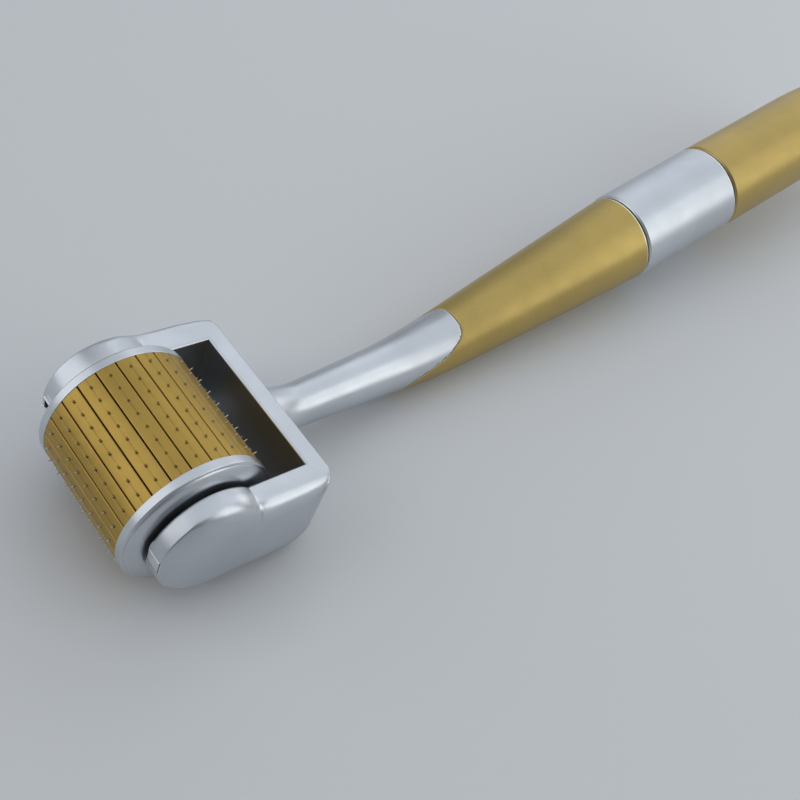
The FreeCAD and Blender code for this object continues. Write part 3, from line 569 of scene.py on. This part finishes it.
def fork_point(row, side, depth, y):
    """Point at a depth from the outline towards the spine, at height y of one arm."""
    x, z = row.x, row.z
    if row.on_top and x < 9.6:      # the hollow widens outwards
        wider = top_z(x, 0.75 + 7.0 * smoothstep(y, 12.5, 14.3)) - top_z(x)
        z += wider * smoothstep(y, 12.2, 12.8)
    r = (0.6, 1.1)[side]            # the upper rear corner rounds off outwards
    back, down = REAR_X - x, TOP_Z - z
    if x > 12 and z > 2 and max(back, down) < r:
        turn = math.radians(45 * (1 - back / r) if back > down else 90 - 45 * (1 - down / r))
        w = smoothstep(y, 12.3, 14.2)
        x += (REAR_X - r + r * math.sin(turn) - x) * w
        z += (TOP_Z - r + r * math.cos(turn) - z) * w
    to_spine = Vector((row.spine_x - x, row.spine_z - z))
    point = Vector((x, z)) + to_spine.normalized() * min(depth, to_spine.length)
    return (point.x, y, point.y)


def fork_column(row, normal, side):
    """Points of one row from the middle outwards: wall, rounded edge, domed outer face."""
    edge_y, edge_r, draft = row.edges[side]
    run_x, run_z = row.spine_x - row.x, row.spine_z - row.z
    length = math.hypot(run_x, run_z)
    lean = max(0.45, Vector((run_x, run_z)).normalized().dot(normal))
    wall_end = edge_y - edge_r
    crown = OUT_Y - edge_y
    span = DOME_SHARE * length

    def drafted(y):
        return draft * ((y - IN_Y) / 2.7) ** 2

    points = [(row.x, 0.0, row.z)]
    for t in (0.22, 0.42, 0.62, 0.82, 1.0):
        y = IN_Y + (wall_end - IN_Y) * t
        points.append(fork_point(row, side, drafted(y) / lean, y))
    end_draft = drafted(wall_end)
    edge_end_y = edge_y + 2 * crown / span * edge_r - crown * (edge_r / span) ** 2
    for t in (0.2, 0.4, 0.6, 0.8, 1.0):
        y = (1 - t) ** 2 * wall_end + 2 * t * (1 - t) * edge_y + t * t * edge_end_y
        points.append(fork_point(row, side, (end_draft + t * t * edge_r) / lean, y))
    first = edge_r / length
    start = (end_draft + edge_r) / lean
    for t in (0.06, 0.14, 0.24, 0.36, 0.5, 0.66, 0.83):
        u = min(1.0, (first + (1 - first) * t) / DOME_SHARE)
        y = edge_y + crown * (2 * u - u * u)
        points.append(fork_point(row, side, start + (length - start) * t, y))
    return points


def fork_block():
    """The solid fork before cutting; both halves share the loop at y = 0."""
    rows = fork_outline()
    normals = inward_normals(rows)
    verts, faces = [], []
    for side, sign in ((0, 1), (1, -1)):
        columns = [fork_column(row, normal, side) for row, normal in zip(rows, normals)]
        index = []
        for j, loop in enumerate(zip(*columns)):
            if sign < 0 and j == 0:
                index.append(list(range(len(rows))))
                continue
            index.append(list(range(len(verts), len(verts) + len(rows))))
            verts += [(x, y * sign, z) for x, y, z in loop]
        for low, high in zip(index, index[1:]):
            faces += band(low, high)
        faces.append(tuple(index[-1]))
    return clean_mesh(verts, faces, merge=1e-4)


def window():
    """Cutter for the gap between the arms; its upper rim flares behind x = FLARE_X."""
    levels = [(-WINDOW_HIGH, 0.0)]      # (z, flare)
    for degrees in (0, 22, 44, 66):
        a = math.radians(degrees)
        levels.append((TOP_Z - FLARE_R * (1 - math.sin(a)), FLARE_R * (1 - math.cos(a))))
    levels += [(TOP_Z + 0.004, FLARE_R + 0.005), (WINDOW_HIGH, FLARE_R + 0.005)]
    loops = [[(WINDOW_FRONT, -IN_Y, z), (FLARE_X, -IN_Y, z), (FLARE_X, -IN_Y - flare, z),
              (BRIDGE_X + flare, -IN_Y - flare, z), (BRIDGE_X + flare, IN_Y + flare, z),
              (FLARE_X, IN_Y + flare, z), (FLARE_X, IN_Y, z), (WINDOW_FRONT, IN_Y, z)]
             for z, flare in levels]
    verts, sides, ends = skin(loops)
    return clean_mesh(verts, ends + sides)


def bridge_step():
    """Cutter for the lower rear of the bridge."""
    return prism([(12.0, -12.0), (18.0, -12.0), (18.0, -6.2), (12.0, -6.2)], -IN_Y, IN_Y)


def axle_slot():
    """Cutter for the slots that run from the axle to the front of each arm."""
    arc = [(1.05 * math.sin(math.radians(a)), -1.05 * math.cos(math.radians(a)))
           for a in range(20, 161, 10)]
    return prism([(-10, -1.0), (0, -1.0)] + arc + [(0, 1.0), (-10, 1.0)], -13.5, 13.5)


def inner_rim(edge):
    """Upper rims of the arms' inner faces, in front of the flare."""
    ends = [v.co for v in edge.verts]
    return (sharp(edge, 50) and all(abs(abs(p.y) - IN_Y) < 1e-3 for p in ends)
            and min(p.z for p in ends) > 2.0 and max(p.x for p in ends) < FLARE_X + 0.05)


fork = boolean(fork_block(), "DIFFERENCE", window(), bridge_step(), axle_slot())
fork = bevel(fork, inner_rim, offset=0.28, segments=3)
piece("fork_casting", fork, HEAD, "handle", "head_silver", "head_fork")

# ----------------------------------------------------- neck and sleeves (GRIP)
GRIP_IN_HEAD = (89.3, 18.75)    # x, z of the grip's origin in the HEAD frame
TILT = math.radians(HEAD_PITCH_DEG + GRIP_RISE_DEG)     # between the HEAD and GRIP frames
NECK_TILT = math.radians(4.3)   # between the neck and the HEAD frame
TURN = TILT - NECK_TILT         # bend from the neck to the handle
BEND_R = 48.0
RING_END, SLEEVE_END = 9.5, 9.64    # half length of the ring, and start of both sleeves
SLEEVE_R = 6.78                 # front sleeve where it meets the ring
TAPER = 0.0628                  # front sleeve's gain in radius per mm
SWEEP_STEP, SWEEP_SEGMENTS = 0.45, 128
SPANS = 18                      # equal spans that smooth the stem's radius


def head_to_grip(x, z):
    dx, dz = x - GRIP_IN_HEAD[0], z - GRIP_IN_HEAD[1]
    return Vector((dx * math.cos(TILT) + dz * math.sin(TILT), 0,
                   -dx * math.sin(TILT) + dz * math.cos(TILT)))


# the centre line: a straight neck, an arc, then the handle's axis
NECK_START = head_to_grip(REAR_X, 0.93)
NECK_DIR = Vector((math.cos(TURN), 0, -math.sin(TURN)))
NECK_RUN = NECK_START.z / math.sin(TURN)
CORNER = NECK_START + NECK_DIR * NECK_RUN
TANGENT = BEND_R * math.tan(TURN / 2)
ARC_START = NECK_RUN - TANGENT
ARC_END = ARC_START + BEND_R * TURN


def stem(s):
    """Point and direction at the distance s along the centre line."""
    if s <= ARC_START:
        return NECK_START + NECK_DIR * s, NECK_DIR
    if s <= ARC_END:
        angle = TURN - (s - ARC_START) / BEND_R
        start = NECK_START + NECK_DIR * ARC_START
        centre = start + Vector((math.sin(TURN), 0, math.cos(TURN))) * BEND_R
        point = centre - Vector((math.sin(angle), 0, math.cos(angle))) * BEND_R
        return point, Vector((math.cos(angle), 0, -math.sin(angle)))
    return Vector((CORNER.x + TANGENT + s - ARC_END, 0, 0)), Vector((1, 0, 0))


def distance_at(x):
    """Distance along the centre line of a place on the handle's axis."""
    return ARC_END + (x - CORNER.x - TANGENT)


def cone_r(x):
    return SLEEVE_R + TAPER * (x + SLEEVE_END)


TOTAL = distance_at(-SLEEVE_END)
KNOTS = [   # (distance along the centre line, radius)
    (0.0, 3.0), (3.6, 3.0), (9.6, 3.16), (ARC_START, 3.62),
    ((ARC_START + ARC_END) / 2, 4.15), (ARC_END, 4.58),
    (distance_at(-36.0), cone_r(-36)), (distance_at(-22.0), cone_r(-22)), (TOTAL, SLEEVE_R)]


def knot_radius(s):
    for (s0, r0), (s1, r1) in zip(KNOTS[:-1], KNOTS[1:]):
        if s <= s1 + 1e-9:
            return r0 + (r1 - r0) * (s - s0) / (s1 - s0)
    return KNOTS[-1][1]


SPAN_R = [knot_radius(TOTAL * i / SPANS) for i in range(SPANS + 1)]
SPAN_R = [SPAN_R[0]] + SPAN_R + [2 * SPAN_R[-1] - SPAN_R[-2]]   # padded for the curve


def stem_radius(s):
    t = min(SPANS - 0.0001, s / TOTAL * SPANS)
    i = int(t)
    r = catmull_rom(*SPAN_R[i:i + 4], t - i)
    if s < 5.0:     # flare into the fork
        r += 1.15 * (1 - s / 5.0) ** 1.6
    return r


def sweep(stations):
    """Round sections (distance, radius) along the stem, closed at both ends."""
    loops = []
    for s, r in stations:
        point, along = stem(s)
        up = Vector((-along.z, 0, along.x))
        loop = []
        for k in range(SWEEP_SEGMENTS):
            a = 2 * math.pi * k / SWEEP_SEGMENTS
            loop.append(point + up * (r * math.cos(a)) + Vector((0, 1, 0)) * (r * math.sin(a)))
        loops.append(loop)
    verts, sides, ends = skin(loops)
    return clean_mesh(verts, sides + ends)


# (x, z) of the curved seam between the silver neck and the gold sleeve
SEAM = [(-43.25, 5.4), (-43.35, 4.4), (-43.7, 3.8), (-44.5, 3.2), (-45.3, 2.8), (-46.8, 2.15),
        (-48.9, 1.6), (-50.7, 1.2), (-53.2, 0.5), (-54.6, -0.5), (-55.25, -2.0), (-55.4, -6.5)]


def behind_seam(shift):
    """Everything on the sleeve's side of the seam, which is moved forward by shift."""
    line = curve_through([(x - shift, z + shift * 0.6) for x, z in SEAM], steps=6)
    points = [tuple(p) for p in line]
    points += [(points[-1][0], -14), (-3.0, -14), (-3.0, 14), (points[0][0], 14)]
    return prism(points, -12, 12)


def seam_edge(edge):
    xs = [v.co.x for v in edge.verts]
    return sharp(edge, 48) and -56.5 < min(xs) and max(xs) < -42.5


def neck():
    stations = [(-0.9, stem_radius(0)), (0.0, stem_radius(0))]     # starts inside the fork
    s = 0.2
    while s < distance_at(-40.0):
        stations.append((s, stem_radius(s)))
        s += 0.25 if s < 3.6 else SWEEP_STEP
    me = boolean(sweep(stations), "DIFFERENCE", behind_seam(shift=0.04))
    return bevel(me, seam_edge, offset=0.25, segments=3)


# (distance before the end, drop in radius) of the sleeve's rounded end at the ring
SLEEVE_LIP = [(0.60, 0.0), (0.38, 0.003), (0.26, 0.018), (0.15, 0.052), (0.075, 0.105),
              (0.022, 0.18), (0.0, 0.25)]


def front_sleeve():
    stations = []
    s = distance_at(-58.0)
    while s < TOTAL - 0.9:
        stations.append((s, stem_radius(s)))
        s += SWEEP_STEP
    for before_end, drop in SLEEVE_LIP:
        s = TOTAL - before_end
        stations.append((s, stem_radius(s) - drop))
    me = boolean(sweep(stations), "INTERSECT", behind_seam(shift=0.0))
    return bevel(me, seam_edge, offset=0.12, segments=2)


def ring():
    outline = [(-RING_END, 5.25), (-RING_END, 6.70, 0.05), (-9.26, 6.94, 0.18),
               (9.16, 7.02, 0.30), (RING_END, 6.68, 0.08), (RING_END, 5.25)]
    return lathe(rounded(outline, closed=True), 192, closed=True)


def rear_sleeve():
    taper = [(31.0 + 15.5 * k / 16, 7.0 - 1.5 * (k / 16) ** 2.2) for k in range(16)]
    outline = [(SLEEVE_END, 5.1), (SLEEVE_END, 6.74, 0.05), (9.92, 7.0, 0.22), *taper,
               (46.5, 5.5, 0.12), (46.5, 4.25, 0.08), (41.0, 5.05)]
    return lathe(rounded(outline, closed=True, steps=8), 192, closed=True)


def tail_cap():
    outline = [(40.5, 0.0), (40.5, 4.17, 0.1), (46.52, 4.17), (46.52, 5.42, 0.12)]
    for k in range(1, 9):
        a = k / 9 * math.pi / 2
        outline.append((46.62 + 2.76 * math.sin(a), 3.2 + 2.2 * math.cos(a) ** 0.85))
    outline += [(49.4, 3.2, 0.12), (49.4, 1.4), (49.4, 0.0)]
    return lathe(rounded(outline), 144)


piece("neck_casting", neck(), GRIP, "handle", "head_silver", "neck_stem")
piece("front_grip", front_sleeve(), GRIP, "handle", "sleeve_gold", "front_sleeve")
piece("ring_collar", ring(), GRIP, "handle", "ring_silver", "grip_ring")
piece("rear_grip", rear_sleeve(), GRIP, "handle", "sleeve_gold", "rear_sleeve")
piece("tail_cap", tail_cap(), GRIP, "handle", "ring_silver", "end_cap")

# ----------------------------------------------------------------- drum (DRUM)
NEEDLE_PITCH, NEEDLES = 2.08, 8     # along a strip
BORE_R = 1.02


def flange(side):
    """End disc of the drum, with a slightly bulging outer face."""
    outer, inner = Vector((9.97, 9.62)), Vector((10.55, 7.3))
    chord = inner - outer
    normal = Vector((-chord.y, chord.x)).normalized()
    face = []
    for k in range(1, 12):
        w = k / 12
        face.append(tuple(outer.lerp(inner, w) + normal * (0.20 * 4 * w * (1 - w))))
    outline = rounded(
        [(8.6, BORE_R), (8.6, 10.06, 0.07), (9.85, 10.06, 0.26), (9.85, 9.66, 0.03),
         (9.95, 9.62)] + face
        + [(10.55, 7.3, 0.3), (10.55, 2.4, 0.06), (11.0, 2.4, 0.12), (11.0, BORE_R)],
        closed=True)
    return lathe([(y * side, r) for y, r in outline], 192, closed=True, axis="Y")


for name, side, node in (("flange_near", -1, "drum_flange_left"),
                         ("flange_far", 1, "drum_flange_right")):
    piece(name, flange(side), DRUM, "drum", "flange_silver", node)

# Strips: u runs across a strip, v along the axle.
STRIP_R = 10.0
STRIP_END_V = 8.58
CELLS_START_V = -NEEDLE_PITCH * NEEDLES / 2
SIDE_GAP = 0.10             # from a strip's side to the plane half-way to the next strip
HALF_SIN = math.sin(math.radians(STRIP_STEP_DEG / 2))
EDGE_U = STRIP_R * HALF_SIN - SIDE_GAP
ROOT_U = 8.4 * HALF_SIN - SIDE_GAP
RIM_U = EDGE_U - 0.13       # where the top meets the rounded edge
EDGE_W = math.sqrt(STRIP_R ** 2 - EDGE_U ** 2)
GROOVE_DEPTH, GROOVE_HALF = 0.035, 0.09     # groove along the middle of the top
TOP_U = [-RIM_U, -0.62, -GROOVE_HALF, 0.0, GROOVE_HALF, 0.62, RIM_U]
# one side from the top edge down, as (u, height from the axle)
STRIP_SIDE = [(EDGE_U - 0.05, EDGE_W - 0.008), (EDGE_U - 0.005, EDGE_W - 0.045),
              (EDGE_U + 0.012, EDGE_W - 0.12), (EDGE_U + 0.01, EDGE_W - 0.30),
              (EDGE_U + 0.045, EDGE_W - 0.36),
              (ROOT_U + 0.07, math.sqrt(8.42 ** 2 - ROOT_U ** 2))]
HOLE_R, HOLE_STRETCH = 0.16, 1.75           # the hole is longer along v
# hole wall as (radius, depth); the first ring is the mouth
HOLE_RINGS = [(HOLE_R + 0.04, 0.0), (HOLE_R + 0.01, 0.015), (HOLE_R - 0.015, 0.035),
              (0.14, 0.07), (0.126, 0.10)]
# directions of the hole's points, one for each of the 20 points round a cell
HOLE_DEG = [-142, -127, -115.4, -90, -64.6, -53, -38, -19, 0, 19, 38, 53, 64.6, 90, 115.4, 127,
            142, 161, 180, 199]
IN_GROOVE = (2, 3, 4, 12, 13, 14)           # of those points, the ones that reach the groove
ON_MIDDLE = (3, 13)


def strip_axes(k):
    """Outward and sideways directions of strip k."""
    a = math.radians(FIRST_STRIP_DEG - STRIP_STEP_DEG * k)
    return Vector((math.cos(a), 0, math.sin(a))), Vector((-math.sin(a), 0, math.cos(a)))


def groove(u):
    return GROOVE_DEPTH * max(0.0, 1 - abs(u) / GROOVE_HALF)


def hole_ring(radius, middle_v):
    return [(radius * math.cos(math.radians(d)),
             middle_v + radius * HOLE_STRETCH * math.sin(math.radians(d))) for d in HOLE_DEG]


def strip(k):
    """One strip with a row of needle holes in its top."""
    outward, across = strip_axes(k)
    verts, faces, tops = [], [], {}

    def vert(point):
        verts.append(point)
        return len(verts) - 1

    def surface(u, v, drop):
        height = math.sqrt(STRIP_R ** 2 - u * u) - drop
        return vert(outward * height + across * u + Vector((0, v, 0)))

    stations = [-STRIP_END_V, CELLS_START_V]
    for c in range(NEEDLES):
        start = CELLS_START_V + NEEDLE_PITCH * c
        stations += [start + NEEDLE_PITCH * part for part in (0.25, 0.5, 0.75, 1.0)]
    stations.append(STRIP_END_V)
    last = len(stations) - 1
    left, right = [], []        # side vertices of each station
    for v in stations:
        left.append([vert(outward * w + across * (-u) + Vector((0, v, 0)))
                     for u, w in reversed(STRIP_SIDE)])
        right.append([vert(outward * w + across * u + Vector((0, v, 0)))
                      for u, w in STRIP_SIDE])

    def top(j, i):
        """Top vertex i of station j, made when first asked for."""
        if (j, i) not in tops:
            tops[j, i] = surface(TOP_U[i], stations[j], groove(TOP_U[i]))
        return tops[j, i]

    for j in range(last):       # sides and underside
        left_0, left_1 = left[j] + [top(j, 0)], left[j + 1] + [top(j + 1, 0)]
        right_0, right_1 = [top(j, 6)] + right[j], [top(j + 1, 6)] + right[j + 1]
        for a, b in ((left_0, left_1), (right_0, right_1)):
            for i in range(len(a) - 1):
                faces.append((a[i], a[i + 1], b[i + 1], b[i]))
        faces.append((left[j][0], left[j + 1][0], right[j + 1][-1], right[j][-1]))
    for j in (0, last - 1):     # top beyond the cells
        for i in range(6):
            faces.append((top(j, i), top(j, i + 1), top(j + 1, i + 1), top(j + 1, i)))
    for j in (0, last):         # end faces
        faces.append(tuple(left[j] + [top(j, i) for i in range(7)] + right[j]))

    for c in range(NEEDLES):
        j = 1 + 4 * c
        border = [(j, i) for i in range(7)] + [(j + step, 6) for step in (1, 2, 3)]
        border += [(j + 4, i) for i in range(6, -1, -1)] + [(j + step, 0) for step in (3, 2, 1)]
        loops = [[top(*place) for place in border]]
        middle_v = CELLS_START_V + NEEDLE_PITCH * (c + 0.5)
        mouth = hole_ring(HOLE_RINGS[0][0], middle_v)
        for w in (0.5, 0.8):    # from the cell's border towards the hole
            loop = []
            for i, ((row, column), (hole_u, hole_v)) in enumerate(zip(border, mouth)):
                u = TOP_U[column] * (1 - w) + hole_u * w
                v = stations[row] * (1 - w) + hole_v * w
                loop.append(surface(u, v, groove(u) if i in IN_GROOVE else 0.0))
            loops.append(loop)
        for radius, drop in HOLE_RINGS:
            loop = []
            for i, (u, v) in enumerate(hole_ring(radius, middle_v)):
                dip = groove(0) * 0.9 if drop == 0.0 and i in ON_MIDDLE else 0.0
                loop.append(surface(u, v, drop + dip))
            loops.append(loop)
        for low, high in zip(loops[:-1], loops[1:]):
            faces += band(low, high)
        faces.append(tuple(loops[-1]))
    return clean_mesh(verts, faces)


for k in range(STRIPS):
    number = "%02d" % (k + 1)
    piece("strip_" + number, strip(k), DRUM, "drum", "strip_bronze", "needle_strip_" + number,
          angle=50)

# a needle as (height from the axle, radius), below its point
NEEDLE = [(9.55, 0.118), (9.98, 0.118), (10.12, 0.108), (10.24, 0.084), (10.38, 0.045),
          (10.46, 0.016)]
NEEDLE_TIP = 10.5
NEEDLE_SEGMENTS = 12


def needles():
    verts, faces = [], []
    for k in range(STRIPS):
        outward, across = strip_axes(k)
        for j in range(NEEDLES):
            base = Vector((0, (j - (NEEDLES - 1) / 2) * NEEDLE_PITCH, 0))
            rings = []
            for height, r in NEEDLE:
                rings.append(list(range(len(verts), len(verts) + NEEDLE_SEGMENTS)))
                for i in range(NEEDLE_SEGMENTS):
                    a = 2 * math.pi * i / NEEDLE_SEGMENTS
                    verts.append(base + outward * height + across * (r * math.cos(a))
                                 + Vector((0, r * math.sin(a), 0)))
            tip, foot = len(verts), len(verts) + 1
            verts += [base + outward * NEEDLE_TIP, base + outward * NEEDLE[0][0]]
            for low, high in zip(rings[:-1], rings[1:]):
                faces += band(low, high)
            for i in range(NEEDLE_SEGMENTS):
                i2 = (i + 1) % NEEDLE_SEGMENTS
                faces.append((rings[-1][i], rings[-1][i2], tip))
                faces.append((rings[0][i2], rings[0][i], foot))
    return clean_mesh(verts, faces, merge=1e-6)


piece("needle_set", needles(), DRUM, "drum", "needle_steel", "needles", angle=60)

# -------------------------------------------------------------- keepers (HEAD)
KEEPER_Z = 0.95             # half height
KEEPER_BACK_X, KEEPER_FOLD_X = -6.2, -6.5
KEEPER_IN_Y, KEEPER_OUT_Y = 11.2, 13.42
# leaves at the front of each keeper, as (lower z, upper z, front x)
NEAR_LEAVES = [(-KEEPER_Z, 0.42, -7.40), (0.50, KEEPER_Z, -7.46)]
FAR_LEAVES = [(-KEEPER_Z, -0.64, -7.74), (-0.08, 0.10, -7.30), (0.64, KEEPER_Z, -7.76)]


def keeper(side, leaves):
    """Plated clip in the mouth of a slot, with deep folds between its leaves."""
    outline = [(KEEPER_BACK_X, -KEEPER_Z)]
    for low, high, front in leaves:
        if low > -KEEPER_Z:
            outline.append((KEEPER_FOLD_X, low, 0.03))
        outline += [(front, low, 0.06), (front, high, 0.06)]
        if high < KEEPER_Z:
            outline.append((KEEPER_FOLD_X, high, 0.03))
    outline.append((KEEPER_BACK_X, KEEPER_Z))
    section = rounded(outline, closed=True, steps=3, support=5.0)
    return prism(section, *sorted((KEEPER_IN_Y * side, KEEPER_OUT_Y * side)))


for name, side, leaves, node in (("keeper_near", -1, NEAR_LEAVES, "axle_keeper_left"),
                                 ("keeper_far", 1, FAR_LEAVES, "axle_keeper_right")):
    piece(name, keeper(side, leaves), HEAD, "handle", "keeper_chrome", node)

# ---------------------------------------------------------------------- stage
bpy.ops.mesh.primitive_plane_add(size=6.0, location=(0, 0, cad_lo.z))
floor = bpy.context.object
floor.name = "floor"
floor_paint = Graph("floor_pale")
floor_paint.feed(floor_paint.shader, {"Base Color": (0.66, 0.67, 0.685, 1), "Roughness": 0.55})
floor.data.materials.append(floor_paint.material)

LIGHT_TARGET = Vector((-0.04, 0, 0))
# name, direction from the target, distance (m), width and height (m), radiance, colour
LIGHTS = [
    ("top_box", (0.28, 0.08, 0.955), 0.62, (0.92, 0.92), 0.70, (0.89, 0.945, 1.0)),
    ("back_box", (0.80, 0.42, 0.33), 0.75, (0.80, 0.56), 0.66, (0.90, 0.945, 1.0)),
    ("far_box", (0.12, 0.92, 0.36), 0.80, (1.10, 0.44), 0.26, (0.90, 0.95, 1.0)),
    ("left_box", (-0.70, 0.46, 0.53), 0.62, (0.52, 0.62), 1.02, (0.96, 0.98, 1.0)),
    ("key_box", (0.54, -0.68, 0.50), 0.60, (0.46, 0.46), 1.18, (0.975, 1.0, 0.97)),
    ("front_box", (0.42, -0.86, 0.28), 0.80, (0.80, 0.30), 0.45, (0.97, 0.985, 1.0)),
    ("tail_box", (0.97, 0.02, 0.20), 0.80, (0.60, 0.26), 1.1, (1.0, 0.99, 0.97)),
]
for name, direction, distance, (width, height), radiance, colour in LIGHTS:
    light = bpy.data.lights.new(name, "AREA")
    light.shape = "RECTANGLE"
    light.size, light.size_y = width, height
    light.energy = radiance * math.pi * width * height
    light.color = colour
    lamp = link(bpy.data.objects.new(name, light))
    direction = Vector(direction).normalized()
    lamp.location = LIGHT_TARGET + direction * distance
    lamp.rotation_mode = "QUATERNION"
    lamp.rotation_quaternion = direction.to_track_quat("Z", "Y")

world = bpy.data.worlds.new("studio")
scene.world = world
world.use_nodes = True
background = world.node_tree.nodes["Background"]
background.inputs["Color"].default_value = (0.80, 0.84, 0.90, 1)
background.inputs["Strength"].default_value = 0.22
scene.view_settings.view_transform = "Standard"
scene.view_settings.look = "None"

# -------------------------------------------------------------- camera (HEAD)
AZIMUTH, ELEVATION, ROLL = (math.radians(a) for a in (-57.83, 43.05, 26.33))
# offset of the camera from the axle along its own axes, mm
CAMERA_BACK, CAMERA_RIGHT, CAMERA_UP = 131.84, 29.736387, 7.405312

back = Vector((math.sin(AZIMUTH) * math.cos(ELEVATION),
               -math.cos(AZIMUTH) * math.cos(ELEVATION), math.sin(ELEVATION)))
level = Vector((math.cos(AZIMUTH), math.sin(AZIMUTH), 0))
upright = back.cross(level)
right = level * math.cos(ROLL) + upright * math.sin(ROLL)
up = upright * math.cos(ROLL) - level * math.sin(ROLL)

cam_data = bpy.data.cameras.new("camera")
cam = link(bpy.data.objects.new("camera", cam_data))
cam_data.sensor_width = 36.0
cam_data.lens = 48.95055
cam_data.clip_start, cam_data.clip_end = 0.005, 20
pose = Matrix([HEAD_TURN.to_3x3() @ axis for axis in (right, up, back)]).transposed().to_4x4()
pose.translation = HEAD @ (back * CAMERA_BACK + right * CAMERA_RIGHT + up * CAMERA_UP)
cam.matrix_world = pose
scene.camera = cam
